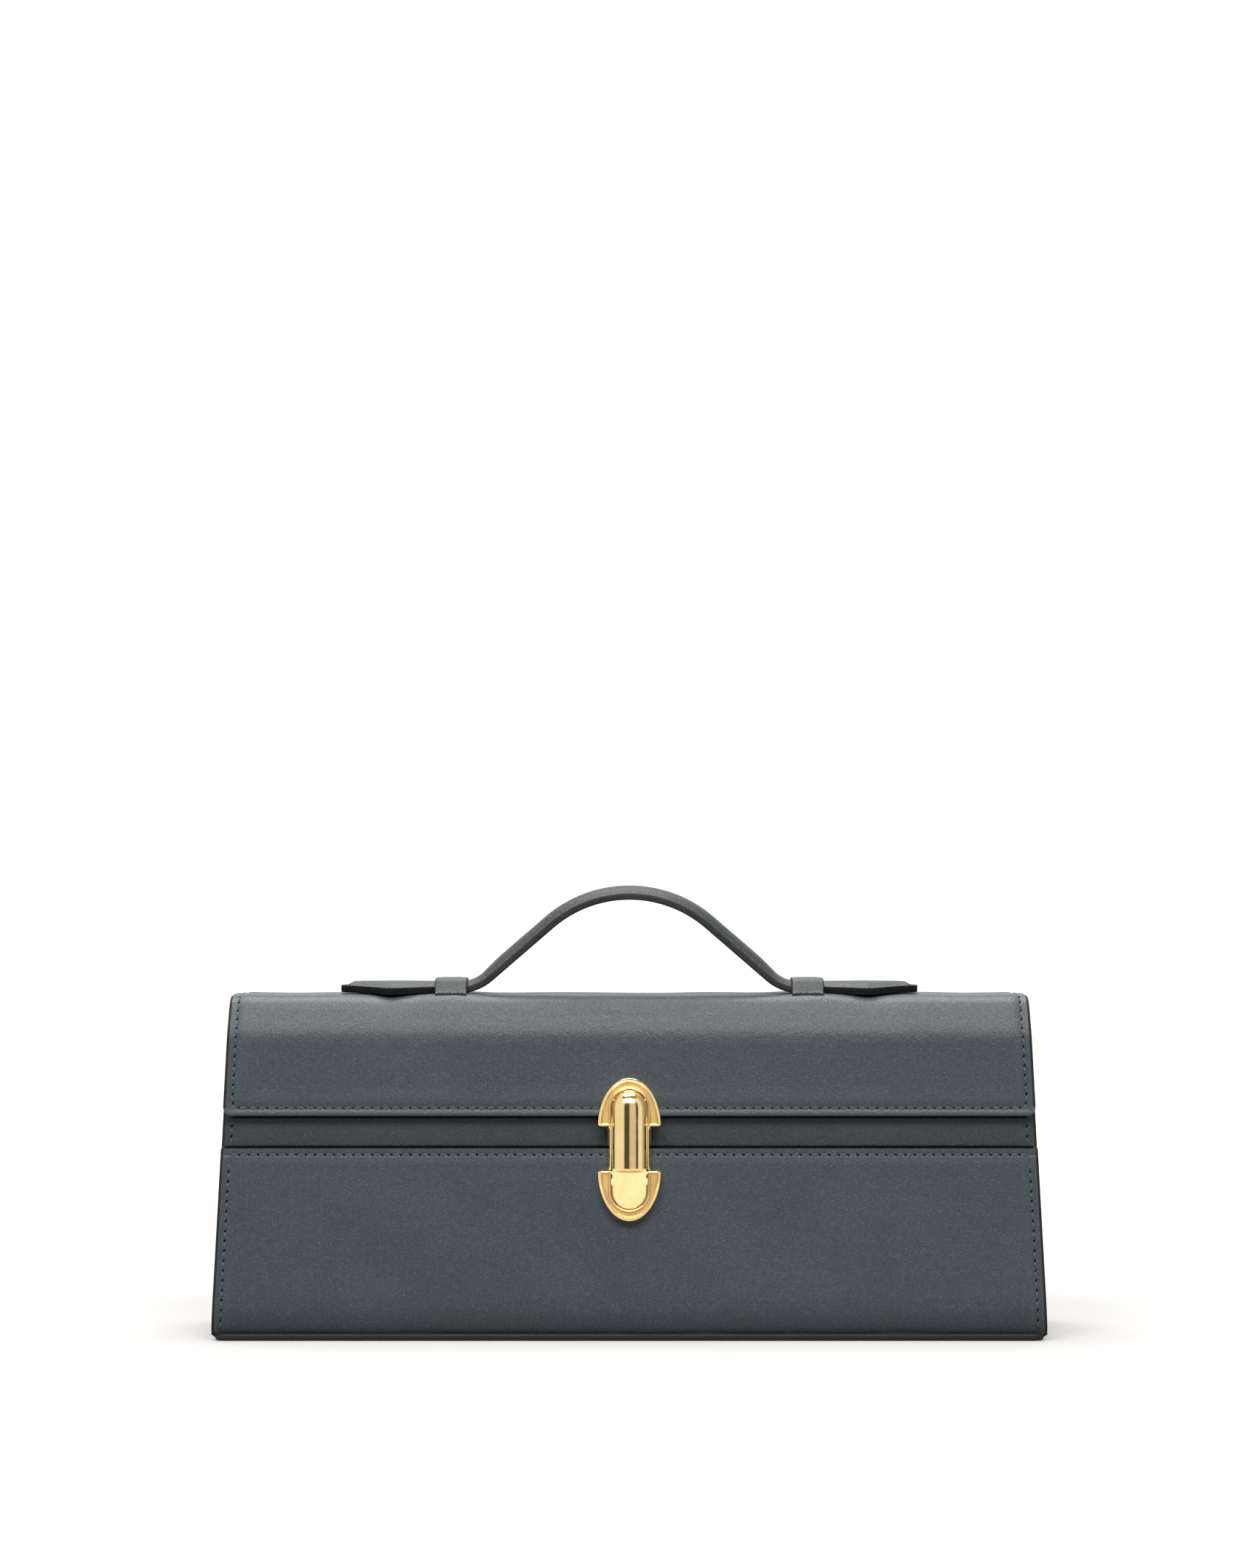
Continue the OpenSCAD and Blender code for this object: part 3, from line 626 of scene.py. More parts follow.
FLAP_S0, FLAP_S1 = s_front(FLAP_Z), s_back(95.6)
KEEPERS = (-58.4, 58.4)


def flap_height(X, S):
    ds, df = side_distance(X, S), S - FLAP_S0 + SEAM - EDGE_SEAM
    h = sewn(nearer(ds, df), puff=0.14)
    h = h + 0.28 * bump(S - FLAP_S0, 0.25, 0.85)
    inner = step(6, 22, nearer(ds, df))
    h = h + 0.16 * inner * wander(X, S, 3)
    mid = S - TOTAL / 2
    between = np.exp(-((X / 38) ** 4))
    h = h - 0.7 * between * (1 - step(4, 11, np.abs(mid)))
    h = h + 0.35 * between * (bump(mid, -13.0, 2.6) + bump(mid, 13.0, 2.6))
    for k in KEEPERS:
        side = math.copysign(1, k)
        for m in (-1, 1):
            h = h + 0.75 * bump(X, k, 10) * bump(mid, m * 10.5, 3.4)
            h = h - 0.6 * bump(X, side * 78, 6.5) * bump(mid, m * 12.5, 4)
    return h


def build_flap():
    X, S = sheet_grid(FLAP_S0, FLAP_S1, True, False, 0.5, 2.4, corner_a=2.4)
    top = flap_height(X, S)
    bottom = np.full_like(top, -2.95)
    ds, df = side_distance(X, S), S - FLAP_S0
    last = X.shape[0] - 1
    # rolled front edge: paler turned leather on its upper turns (burnished edge and painted
    # highlight), near-black gap below (dark edge paint and painted shade)
    def rim(k, r, c):
        if r == 0 or (r < 6 and k < 3):
            return 1 if k < 3 else 3
        return 4

    obj = shell("flap", X, S, top, bottom, on_outline,
                ["leather", "turned", "lining", "gap", "edge_brown"],
                bulge=PAINT, turns=8, square=0.7, wear_and_sheen=wear_and_seam_sheen(nearer(ds, df)), rim=rim,
                keep=lambda r, c: np.where(r == last, 0.0, np.where(r == 0, 0.55, 1.0)),
                tilt=lambda r, c: np.where(r == 0, 1.25, 0.0))
    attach(obj, "flap")
    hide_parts("flap_leather", "flap_stiffener", "flap_lining")

    def edge_line(side):
        s = np.linspace(FLAP_S1 - 1.5, FLAP_S0 + EDGE_SEAM + 1.6, 60)
        return np.stack([side * side_x(outline(s)[1], SEAM), s], -1)

    half = side_x(FLAP_Z, SEAM)
    corner = 1.6
    bend = [(-half + corner * (1 - math.cos(a)), FLAP_S0 + EDGE_SEAM + corner * (1 - math.sin(a)))
            for a in np.linspace(0, math.pi / 2, 6)]
    line = np.concatenate([edge_line(-1), bend, [(-x, s) for x, s in reversed(bend)],
                           edge_line(1)[::-1]])
    stitches("flap_stitches", line, on_outline, lambda x, s: flap_height(x, s), "flap",
             slot="leather")
    return obj


def fold_height(X, S):
    return sewn(side_distance(X, S), puff=0.14)


def build_fold():
    """The back's leather where it bends between the back wall and the flap."""
    X, S = sheet_grid(FLAP_S1, s_back(90.0), False, False, 0.5, 0.4)
    top = fold_height(X, S)
    obj = shell("flap_fold_leather", X, S, top, np.full_like(top, -1.55), on_outline,
                ["leather", "edge_brown", "lining"], bulge=PAINT, turns=6, square=0.7,
                wear_and_sheen=wear_and_seam_sheen(side_distance(X, S)),
                keep=lambda r, c: np.where((c == 0) | (c == X.shape[1] - 1), 1.0, 0.0))
    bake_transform(obj)


# ---------------------------------------------------------------- body


UNDER_R, UNDER_Z = 17.0, 13.0


def under(z):
    """How far the foot of a wall curves under the bag."""
    return UNDER_R - np.sqrt(UNDER_R**2 - np.clip(UNDER_Z - z, 0, None) ** 2)


POCKET_S0, POCKET_S1 = s_front(BASE_T + 0.05), s_front(POCKET_Z)


def pocket_height(X, S):
    z = outline(S)[1]
    h = sewn(side_distance(X, S)) + sewn(POCKET_S1 - S, press=0.07, puff=0.03)
    d = nearer(side_distance(X, S), POCKET_S1 - S)
    return h + 0.2 * step(6, 24, d) * wander(X, S, 11) - under(z)


def build_pocket():
    X, S = sheet_grid(POCKET_S0, POCKET_S1 - 0.55, True, True, 0.5, 4.0, corner_a=1.5,
                      corner_b=0.6)
    top = pocket_height(X, S)
    margin = 1 - step(3.8, 6.0, np.minimum(side_distance(X, S), S - POCKET_S0))
    bottom = -2.0 - 1.35 * margin - 0.6 * (1 - margin) * step(30, 8, S)
    bottom = np.minimum(bottom, top - 1.1)
    d = nearer(side_distance(X, S), POCKET_S1 - S)
    last = X.shape[0] - 1
    # the pocket's top rim takes the near-black gap: dark edge paint and painted shade
    obj = shell("front_pocket", X, S, top, bottom, on_outline,
                ["leather", "edge_brown", "lining", "gap"], bulge=PAINT, turns=8, square=0.8,
                wear_and_sheen=wear_and_seam_sheen(d), keep=lambda r, c: np.where(r == last, 0.35, 1.0),
                tilt=lambda r, c: np.where(r == last, 1.1, 0.0),
                rim=lambda k, r, c: 3 if r == last else 1)
    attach(obj, "body")
    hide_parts("front_pocket_panel")
    half = side_x(POCKET_Z, SEAM)
    top_line = np.stack([np.linspace(-half, half, 300), np.full(300, POCKET_S1 - SEAM)], -1)
    stitches("pocket_top_stitches", top_line, on_outline, pocket_height, "body", slot="leather")
    for side, tag in ((-1, "left"), (1, "right")):
        s = np.linspace(POCKET_S0 + 1.5, POCKET_S1 - SEAM - 2.2, 50)
        line = np.stack([side * side_x(outline(s)[1], SEAM), s], -1)
        stitches(f"pocket_{tag}_stitches", line, on_outline, pocket_height, "body",
                 slot="leather")


def wall_height(X, S):
    d = nearer(side_distance(X, S), s_front(MOUTH_Z) - S)
    return -3.44 - 0.12 * (1 - step(0.6, 3.0, d)) + 0.05 * wander(X, S, 5) \
        + 0.6 * sewn(side_distance(X, S))


def build_front_wall():
    X, S = sheet_grid(s_front(BASE_T + 0.05), s_front(MOUTH_Z), False, True, 0.5, 4.0,
                      corner_b=1.5)
    d = nearer(side_distance(X, S), s_front(MOUTH_Z) - S)
    top = wall_height(X, S)
    # the 'inner' leather on this wall is the body leather darkened as painted shade
    obj = shell("front_wall", X, S, top, np.full_like(top, -4.97), on_outline,
                ["inner", "edge_brown", "lining"], bulge=PAINT, wear_and_sheen=wear_and_seam_sheen(d) * 0.6)
    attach(obj, "body")
    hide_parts("front_panel")
    for side, tag in ((-1, "left"), (1, "right")):
        s = np.linspace(POCKET_S1 + 0.4, s_front(MOUTH_Z) - 2.4, 40)
        line = np.stack([side * side_x(outline(s)[1], SEAM), s], -1)
        stitches(f"wall_{tag}_stitches", line, on_outline, wall_height, "body", lift=0.08,
                 slot="leather")


BACK_S0, BACK_S1 = s_back(90.0), s_back(BASE_T + 0.05)


def back_height(X, S):
    z = outline(S)[1]
    ds = side_distance(X, S)
    d = nearer(ds, BACK_S1 - S + 1.5)
    return sewn(ds, puff=0.14) + 0.18 * step(6, 24, d) * wander(X, S, 21) \
        * step(0, 12, S - BACK_S0) - under(z)


def build_back_wall():
    X, S = sheet_grid(BACK_S0, BACK_S1, False, True, 0.5, 4.0, corner_b=1.5)
    top = back_height(X, S)
    bottom = np.minimum(np.full_like(top, -2.0), top - 0.9)
    obj = shell("back_wall", X, S, top, bottom, on_outline, ["leather", "edge_brown", "lining"],
                bulge=PAINT, wear_and_sheen=wear_and_seam_sheen(side_distance(X, S)),
                keep=lambda r, c: np.where(r == 0, 0.0, 1.0))
    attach(obj, "body")
    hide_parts("back_panel")
    for side, tag in ((-1, "left"), (1, "right")):
        s = np.linspace(BACK_S0 + 0.8, BACK_S1 - 2.2, 90)
        line = np.stack([side * side_x(outline(s)[1], SEAM), s], -1)
        stitches(f"back_{tag}_stitches", line, on_outline, back_height, "body", slot="leather")


def build_gusset(side):
    """Soft side: a web that bows inwards, with its edges turned out between the walls."""
    name = "left" if side < 0 else "right"
    us = np.concatenate([np.linspace(0, 3, 5), np.linspace(3.4, 6.6, 8), np.linspace(7.2, 9, 3)])
    near = us / 10.0
    u = np.concatenate([near * 0.12, np.linspace(0.13, 0.87, 26), 1 - near[::-1] * 0.12])
    v = np.linspace(0, 1, 34)
    U, V = np.meshgrid(u, v)

    def frame_at(u_, z):
        x_out, x_web = side_x(z, 0.35), side_x(z, 5.25)
        yf, yb = wall_y(z, 5.8), -wall_y(z, 4.2)
        r = 1.9
        flange = x_out - x_web - r
        arc = r * math.pi / 2
        web = (yb - yf) - 2 * r
        total = 2 * flange + 2 * arc + web
        a = np.clip(u_ / 0.12, 0, 1) * (flange + arc)
        m = np.clip((u_ - 0.12) / 0.76, 0, 1) * web
        e = np.clip((u_ - 0.88) / 0.12, 0, 1) * (flange + arc)
        d = np.where(u_ < 0.12, a, np.where(u_ < 0.88, flange + arc + m,
                                            flange + arc + web + e))
        x = x_out - np.minimum(d, flange)
        y = yf + 0 * d
        nx, ny = 0 * d, -1 + 0 * d
        t = np.clip((d - flange) / arc, 0, 1) * math.pi / 2
        turned = d > flange
        x = np.where(turned, x_web + r - r * np.sin(t), x)
        y = np.where(turned, yf + r - r * np.cos(t), y)
        nx, ny = np.where(turned, np.sin(t), nx), np.where(turned, -np.cos(t), ny)
        w = np.clip(d - flange - arc, 0, web)
        y = y + w
        t2 = np.clip((d - flange - arc - web) / arc, 0, 1) * math.pi / 2
        last = d > flange + arc + web
        x = np.where(last, x_web + r - r * np.cos(t2), x)
        y = np.where(last, yb - r + r * np.sin(t2), y)
        nx, ny = np.where(last, np.cos(t2), nx), np.where(last, np.sin(t2), ny)
        x = np.where(d > flange + 2 * arc + web, x_web + r + (d - flange - 2 * arc - web), x)
        bow = 0.75 * np.sin(np.clip(w / web, 0, 1) * math.pi)
        del total
        return x - bow * step(2, 30, z), y, nx, -ny

    def place(u_, z, h):
        x, y, nx, ny = frame_at(u_, z)
        return np.stack([side * (x + nx * h), y - ny * h * 1.0, z + 0 * h], -1)

    x0, y0, _, _ = frame_at(U, np.full_like(U, 100.0))
    top_z = GUSSET_Z - 6.0 * (1 - step(0, 6.0, np.minimum(y0 - wall_y(95.0, 5.0),
                                                           -wall_y(95.0, 3.4) - y0)))
    Z = BASE_T + 0.1 + V * (top_z - BASE_T - 0.1)
    scale = 60.0
    obj = shell(f"{name}_gusset_leather", U * scale, Z, np.full_like(U, 0.68),
                np.full_like(U, -0.68), lambda a, z, h: place(a / scale, z, h),
                ["leather", "edge", "lining"], bulge=0.18,
                wear_and_sheen=bump(top_z - Z, 0, 1.0))
    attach(obj, "body")
    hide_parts(f"{name}_gusset")


def rounded(half_x, y0, y1, r, n=9):
    """Corner-rounded rectangle as a ring of points."""
    pts = []
    for cx, cy, a0 in ((half_x - r, y1 - r, 0), (-half_x + r, y1 - r, 90),
                       (-half_x + r, y0 + r, 180), (half_x - r, y0 + r, 270)):
        for k in range(n):
            a = math.radians(a0 + 90 * k / (n - 1))
            pts.append((cx + r * math.cos(a), cy + r * math.sin(a)))
        pts.append(None)
    ring = []
    for i, p in enumerate(pts):
        if p is not None:
            ring.append(p)
            continue
        a, b = pts[i - 1], pts[(i + 1) % len(pts)]
        count = 40 if abs(a[0] - b[0]) > abs(a[1] - b[1]) else 10
        for k in range(1, count):
            ring.append((a[0] + (b[0] - a[0]) * k / count, a[1] + (b[1] - a[1]) * k / count))
    return np.array(ring)


def build_lining():
    """Cotton lining of the compartment, one soft sewn bag with slack in its walls."""
    def ring(z, grow, top=False):
        p = rounded(side_x(z, 6.05) - grow, wall_y(z, 5.03) + grow, -wall_y(z, 3.45) - grow, 2.5)
        slack = 0.25 * (1 - grow) * step(4, 20, z) * (1 - step(80, 92, z))
        c = np.array([0, (wall_y(z, 5.03) - wall_y(z, 3.45)) / 2])
        inward = wander(p[:, 0] * 1.0, np.full(len(p), z), 31, 30.0) - 1.0
        d = (p - c) / np.array([135.0, 25.0])
        p = p + slack * inward[:, None] * np.sign(d) * (np.abs(d) > 0.8) * (0.2 + grow)
        z_top = np.where(p[:, 1] > 5, -1.9, 0.0) if top else 0.0
        return np.stack([p[:, 0], p[:, 1], z + z_top + np.zeros(len(p))], -1)

    rings = [ring(z, 0.0, z > 93) for z in [BOARD_Z + 0.05] + list(np.linspace(6, 93.6, 26))]
    rings += [ring(93.9, 0.35, True)]
    rings += [ring(z, 0.7, z > 93) for z in list(np.linspace(93.6, 7, 26))]
    rings += [ring(5.7, 0.9), ring(5.25, 1.6)]
    obj = loft("compartment_lining", rings, ["lining"])
    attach(obj, "body")
    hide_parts("front_lining", "back_lining", "left_lining", "right_lining", "base_lining")


def build_sole():
    def ring(grow, z):
        p = rounded(side_x(0, 0.9) + grow, -BODY_D / 2 + 2.2 - grow, BODY_D / 2 - 2.2 + grow, 3.0)
        return np.stack([p[:, 0], p[:, 1], np.full(len(p), z)], -1)
    rings = [ring(-3, 0.0), ring(-0.9, 0.0), ring(-0.4, 0.1), ring(-0.1, 0.45), ring(0, 0.9),
             ring(0, 1.6), ring(-0.15, 2.05), ring(-0.5, 2.32), ring(-1.2, 2.38), ring(-4, 2.38)]
    # the sole's near-black leather is partly dark edge paint, partly painted shade at the foot
    obj = loft("sole", rings, ["sole"])
    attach(obj, "body")
    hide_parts("base_panel")


# ---------------------------------------------------------------- strap

STRAP_Z = BODY_H + 0.3
RISE, BEND_R, FOOT_R, FOOT_X, KEEP_IN, KEEP_OUT = 30.7, 38.0, 17.0, 56.0, 53.15, 63.65
CC = np.array([0.0, STRAP_Z + RISE - BEND_R])
FC = np.array([FOOT_X, STRAP_Z + FOOT_R])
RUN = FC - CC
SLOPE = math.atan2(RUN[0], RUN[1]) - math.acos((BEND_R + FOOT_R) / np.linalg.norm(RUN))
ARC1, ARC2 = BEND_R * SLOPE, FOOT_R * SLOPE
P1 = CC + BEND_R * np.array([math.sin(SLOPE), math.cos(SLOPE)])
P2 = FC - FOOT_R * np.array([math.sin(SLOPE), math.cos(SLOPE)])
MID = float(np.linalg.norm(P2 - P1))
FOOT_END = ARC1 + MID + ARC2


def strap_at(t):
    """Underside point and upward direction of the strap's right half, from its middle."""
    t = np.asarray(t, float)
    a = np.clip(t, 0, ARC1) / BEND_R
    b = np.clip(t - ARC1 - MID, 0, ARC2) / FOOT_R
    n = a - b
    x = BEND_R * np.sin(a) + np.clip(t - ARC1, 0, MID) * math.cos(SLOPE)
    z = CC[1] + BEND_R * np.cos(a) - np.clip(t - ARC1, 0, MID) * math.sin(SLOPE)
    x = x + np.where(b > 0, FOOT_R * (math.sin(SLOPE) - np.sin(SLOPE - b)), 0)
    z = z - np.where(b > 0, FOOT_R * (np.cos(SLOPE - b) - math.cos(SLOPE)), 0)
    x = x + np.clip(t - FOOT_END, 0, None)
    return x, z, np.sin(n), np.cos(n)


STRAP_PROFILE = [(0, 0), (2, 0), (4, 0), (5.6, 0), (6.45, 0.04), (6.82, 0.2), (6.98, 0.5),
                 (7.0, 0.85), (6.97, 1.15), (7.0, 1.45), (6.98, 1.8), (6.84, 2.1), (6.58, 2.28),
                 (6.25, 2.3), (6.0, 2.22), (5.8, 2.08), (5.6, 2.2), (5.35, 2.36), (5.0, 2.58),
                 (4.55, 2.86), (4.0, 3.12), (3.3, 3.37), (2.5, 3.57), (1.6, 3.71), (0.8, 3.78),
                 (0, 3.8)]


def pad(t):
    """The strap's padding is fuller in the arch than in the keepers."""
    return 1 + 0.5 * (1 - step(ARC1 + MID - 8, ARC1 + MID + 6, t))


def build_strap(side):
    tag = "left" if side < 0 else "right"
    ts = np.concatenate([np.linspace(0, 2, 5), np.linspace(3, ARC1 + MID, 46),
                         np.linspace(ARC1 + MID, FOOT_END, 18)[1:],
                         FOOT_END + np.array([0.25, 0.5])])
    prof = np.array(STRAP_PROFILE)
    prof = np.concatenate([prof, prof[-2:0:-1] * [-1, 1]])
    rings = []
    for t in ts:
        x, z, nx, nz = strap_at(t)
        full = float(pad(t))
        h = np.where(prof[:, 1] > 2.3, 2.3 + (prof[:, 1] - 2.3) * full, prof[:, 1])
        uneven = 0.05 * wander(np.full(len(prof), t), prof[:, 0], 41 + side, 22.0)
        h = h + uneven * (prof[:, 1] > 2.6)
        slim = 1 - 0.08 * step(FOOT_END - 2.5, FOOT_END - 1.9, t)
        h = 1.9 + (h - 1.9) * slim
        rings.append(np.stack([side * (x + nx * h), prof[:, 0] * slim, z + nz * h], -1))
    n = len(prof)

    def kind(k, i):
        a = abs(prof[i, 0]) + abs(prof[(i + 1) % n, 0])
        low = min(prof[i, 1], prof[(i + 1) % n, 1])
        high = max(prof[i, 1], prof[(i + 1) % n, 1])
        if a > 13.2 and low < 2.2 and high > 0.02:
            return 1
        return 0

    # paler line along each edge's top bevel and along the dome's crest: partly wear, partly painted
    # highlight
    wear_and_sheen = np.tile(1.3 * bump(np.abs(prof[:, 0]), 6.4, 0.4) * (prof[:, 1] > 2.0)
                   + 0.5 * bump(prof[:, 0], 0, 2.5) * (prof[:, 1] > 3.0), len(ts))
    # the arch takes the darker copy of the strap leather, as painted shade
    obj = loft(f"strap_{tag}_half", rings, ["strap_shaded", "edge"], kind, wear_and_sheen, caps=(True, True))
    crown = np.abs(np.array([v.co.x for v in obj.data.vertices])) < 1e-7
    normals = np.array([v.normal for v in obj.data.vertices])
    normals[crown, 0] = 0
    normals /= np.linalg.norm(normals, axis=1)[:, None]
    obj.data.normals_split_custom_set_from_vertices(normals.tolist())
    riser, other = f"handle_riser_{tag}", "handle_crown"
    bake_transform(obj)
    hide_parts(riser, *([other] if side > 0 else []))

    def place(t, y, h):
        x, z, nx, nz = strap_at(t)
        return np.stack([side * (x + nx * h), y + 0 * t, z + nz * h], -1)

    for edge, mark in ((-1, "front"), (1, "back")):
        line = np.stack([np.linspace(0.0, FOOT_END + 0.2, 200),
                         np.full(200, 5.8 * edge)], -1)
        rows = stitch_mesh(f"strap_{tag}_{mark}_stitches", line, place, 2.1)
        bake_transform(rows)


def stitch_mesh(name, line, place, height, **sizes):
    """Stitches that aren't tied to a body yet."""
    obj = stitches(name, line, place, height, "flap", **sizes)
    obj.parent = None
    del obj["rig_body"]
    return obj


TAB_X0, FLARE_X, TIP_X, TIP_R = 53.5, 78.25, 94.75, 4.5


def tab_half(x):
    """Half of the tab's width along it."""
    fine = np.arange(50, 90.5, 0.1)
    w = np.interp(fine, [50, KEEP_OUT, FLARE_X, TIP_X - TIP_R, 91], [7, 7, 11.5, 4.85, 4.4])
    kernel = np.exp(-((np.arange(-30, 31) * 0.1 / 0.9) ** 2) / 2)
    w = np.convolve(np.pad(w, 30, mode="edge"), kernel / kernel.sum(), mode="valid")
    body = np.interp(x, fine, w)
    end = np.sqrt(np.maximum(TIP_R**2 - np.clip(x - (TIP_X - TIP_R), 0, TIP_R) ** 2, 0))
    join = step(88.5, 90.25, x)
    return np.where(x > TIP_X - TIP_R, end, body * (1 - join) + np.minimum(body, TIP_R) * join)


def build_tab(side):
    tag = "left" if side < 0 else "right"
    tip = TIP_X - 0.3 - 4.2 * (1 - np.cos(np.linspace(0, math.pi / 2, 12)))[::-1]
    xs = np.concatenate([np.arange(TAB_X0, tip[0] - 0.3, 0.55), tip])
    us = np.concatenate([np.linspace(0, 0.62, 10), 1 - 0.38 * np.cos(np.linspace(0, 1.5, 15))])
    us = np.unique(np.clip(us, 0, 1))
    us[-1] = 1.0
    us = np.concatenate([-us[:0:-1], us])
    half = np.maximum(tab_half(xs + 0.0) - 0.3, 0.6)
    half[-1] = 0.9
    X = np.repeat(xs[:, None], len(us), axis=1)
    Y = half[:, None] * us[None, :]
    edge_x = np.concatenate([np.linspace(TAB_X0 - 8, TIP_X - 4.5, 120),
                             TIP_X - 4.5 + 4.5 * np.sin(np.linspace(0, math.pi / 2, 40))])
    line = np.stack([edge_x, tab_half(edge_x)], -1)

    def inside(x, y):
        a = np.stack([np.ravel(x), np.abs(np.ravel(y))], -1)
        d = np.sqrt(((a[:, None, :] - line[None, :, :]) ** 2).sum(-1)).min(1)
        return d.reshape(np.shape(x))

    def top_of(x, y):
        d = inside(x, y)
        h = 2.3 - 0.16 * bump(d, 1.2, 0.36)
        rise = step(1.6, 5.4, d) ** 0.75 * 1.5
        return h + rise

    def place(x, y, h):
        fall = 0.35 * np.clip((np.abs(y) - 4) / 7.5, 0, None) ** 2
        fall = fall - 0.25 * step(80, 95, x)
        return np.stack([side * (x + 0 * y), y + 0 * x, STRAP_Z + h - fall], -1)

    top = top_of(X, Y)
    # paler at the edges from wear, and paler over the domed middle as a painted highlight
    obj = shell(f"tab_{tag}_end", X, Y, top, np.zeros_like(top), place,
                ["strap", "edge_tab", "strap"],
                bulge=0.3, turns=8, square=0.5,
                wear_and_sheen=0.8 * bump(inside(X, Y), 0.3, 0.4) + 0.25 * step(4, 7, inside(X, Y)),
                keep=lambda r, c: np.where(r == 0, 0.0, 1.0))
    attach(obj, f"tab_{tag}")
    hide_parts(f"handle_tab_{tag}")
    lx = np.linspace(TAB_X0 + 0.6, TIP_X - 4.5, 120)
    upper = np.stack([lx, tab_half(lx) - 1.25], -1)
    a = np.linspace(0, math.pi, 20)[1:-1]
    bend = np.stack([TIP_X - 4.5 + 3.25 * np.sin(a), 3.25 * np.cos(a)], -1)
    path = np.concatenate([upper, bend, (upper * [1, -1])[::-1]])
    stitches(f"tab_{tag}_stitches", path, place, top_of, f"tab_{tag}", length=2.2, radius=0.26)


def build_keeper(side):
    """Loop of leather over the strap, with rounded edges and two sewn feet."""
    tag = "left" if side < 0 else "right"
    mid = (KEEP_IN + KEEP_OUT) / 2
    base, top, crest, r, lip = 9.3, 6.9, 4.3, 1.5, 1.9
    lean = math.atan2(base - top, crest)
    pts = [(-base - lip, BODY_H + 0.1), (-base - 0.9, BODY_H + 0.25), (-base - 0.3, BODY_H + 0.6)]
    corner = (-top + 0.1, BODY_H + crest + 0.3 - r)
    pts += [(corner[0] + r * (0.35 - math.cos(a)), corner[1] + r * math.sin(a))
            for a in np.linspace(lean, math.pi / 2, 8)]
    half_pts = len(pts)
    ys = np.linspace(pts[-1][0], -pts[-1][0], 17)[1:-1]
    pts += [(y, BODY_H + crest + 0.3 + 0.16 * math.cos(y / 6.0 * math.pi / 2)) for y in ys]
    pts += [(-y, z) for y, z in reversed(pts[:half_pts])]
    pts = np.array(pts)
    pts = resample(pts, 0.45)
    d = np.gradient(pts, axis=0)
    d /= np.linalg.norm(d, axis=1)[:, None]
    normal = np.stack([-d[:, 1], d[:, 0]], -1)
    half = 5.25 - 0.45
    xs = np.unique(np.concatenate([-half + np.array([0, 0.3, 0.7, 1.1, 1.6, 2.4]), [0],
                                   half - np.array([0, 0.3, 0.7, 1.1, 1.6, 2.4])]))
    length = len(pts) - 1
    X, S = np.meshgrid(xs, np.arange(len(pts), dtype=float))

    def place(x, s, h):
        i = np.clip(s, 0, length)
        py = np.interp(i, np.arange(len(pts)), pts[:, 0])
        pz = np.interp(i, np.arange(len(pts)), pts[:, 1])
        ny = np.interp(i, np.arange(len(pts)), normal[:, 0])
        nz = np.interp(i, np.arange(len(pts)), normal[:, 1])
        return np.stack([side * (mid + x), py + ny * h, pz + nz * h], -1)

    edge = half + 0.45 - np.abs(X)
    top = 0.55 - 0.1 * bump(edge, 1.5, 0.3) - 0.12 * (1 - step(0.2, 1.6, edge))
    obj = shell(f"keeper_{tag}_loop", X, S, top, np.full_like(top, -0.5), place,
                ["strap", "edge", "lining"], bulge=0.45, turns=6, square=0.7,
                wear_and_sheen=0.9 * bump(edge, 0.2, 0.5))
    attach(obj, "flap")
    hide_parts(f"keeper_{tag}")
    for row, mark in ((1.6, "front"), (length - 1.6, "back")):
        line = np.stack([np.linspace(-half, half, 60), np.full(60, row)], -1)
        stitches(f"keeper_{tag}_{mark}_stitches", line, place, 0.5, "flap", pitch=2.4, length=1.8,
                 radius=0.26, slant=4.0)


# ---------------------------------------------------------------- lock


LOCK_W, FOOT_L, NECK_W, NECK_L, ARCH_L = 20.4, 16.2, 14.2, 14.4, 15.6
ARCH_S = FOOT_L + NECK_L
LEVER_R, LEVER_S0, LEVER_S1, LEVER_BASE, CREST_R, CREST = 5.5, 4.0, 42.1, 1.13, 6.5, 6.1
CHANNEL_R = LEVER_R + 0.4
PIN_S, PIN_H, OPEN = 39.1, 2.0, math.radians(35)
RIM_W, INNER_RIM_W, SUNK = 1.2, 0.82, 2.6
RIM_AT = np.array([0, 0.07, 0.2, 0.45, 0.7, 0.84, 0.94, 1.03])
RIM_DROP = np.array([0.66, 0.52, 0.42, 0.26, 0.11, 0.03, 0.14, 0.6])
INNER_AT = np.array([0, 0.09, 0.26, 0.48, 0.7, 0.87, 0.95, 1.03])
INNER_DROP = np.array([0.34, 0.17, 0.04, 0, 0.03, 0.14, 0.28, 0.56])


def on_lock(x, s, h):
    """Place a point on the lock: across, up the wall from its lower end, and out of the wall."""
    y = wall_y(LOCK_Z, 0) + s * math.sin(LEAN) - h * math.cos(LEAN)
    return np.stack([x + 0 * y, y, LOCK_Z + s * math.cos(LEAN) + h * math.sin(LEAN)], -1)


def rim_height(d, width, share, drop):
    """Polished rim beside an edge, then the sunk band."""
    return np.interp(d, share * width, 3.2 - drop)


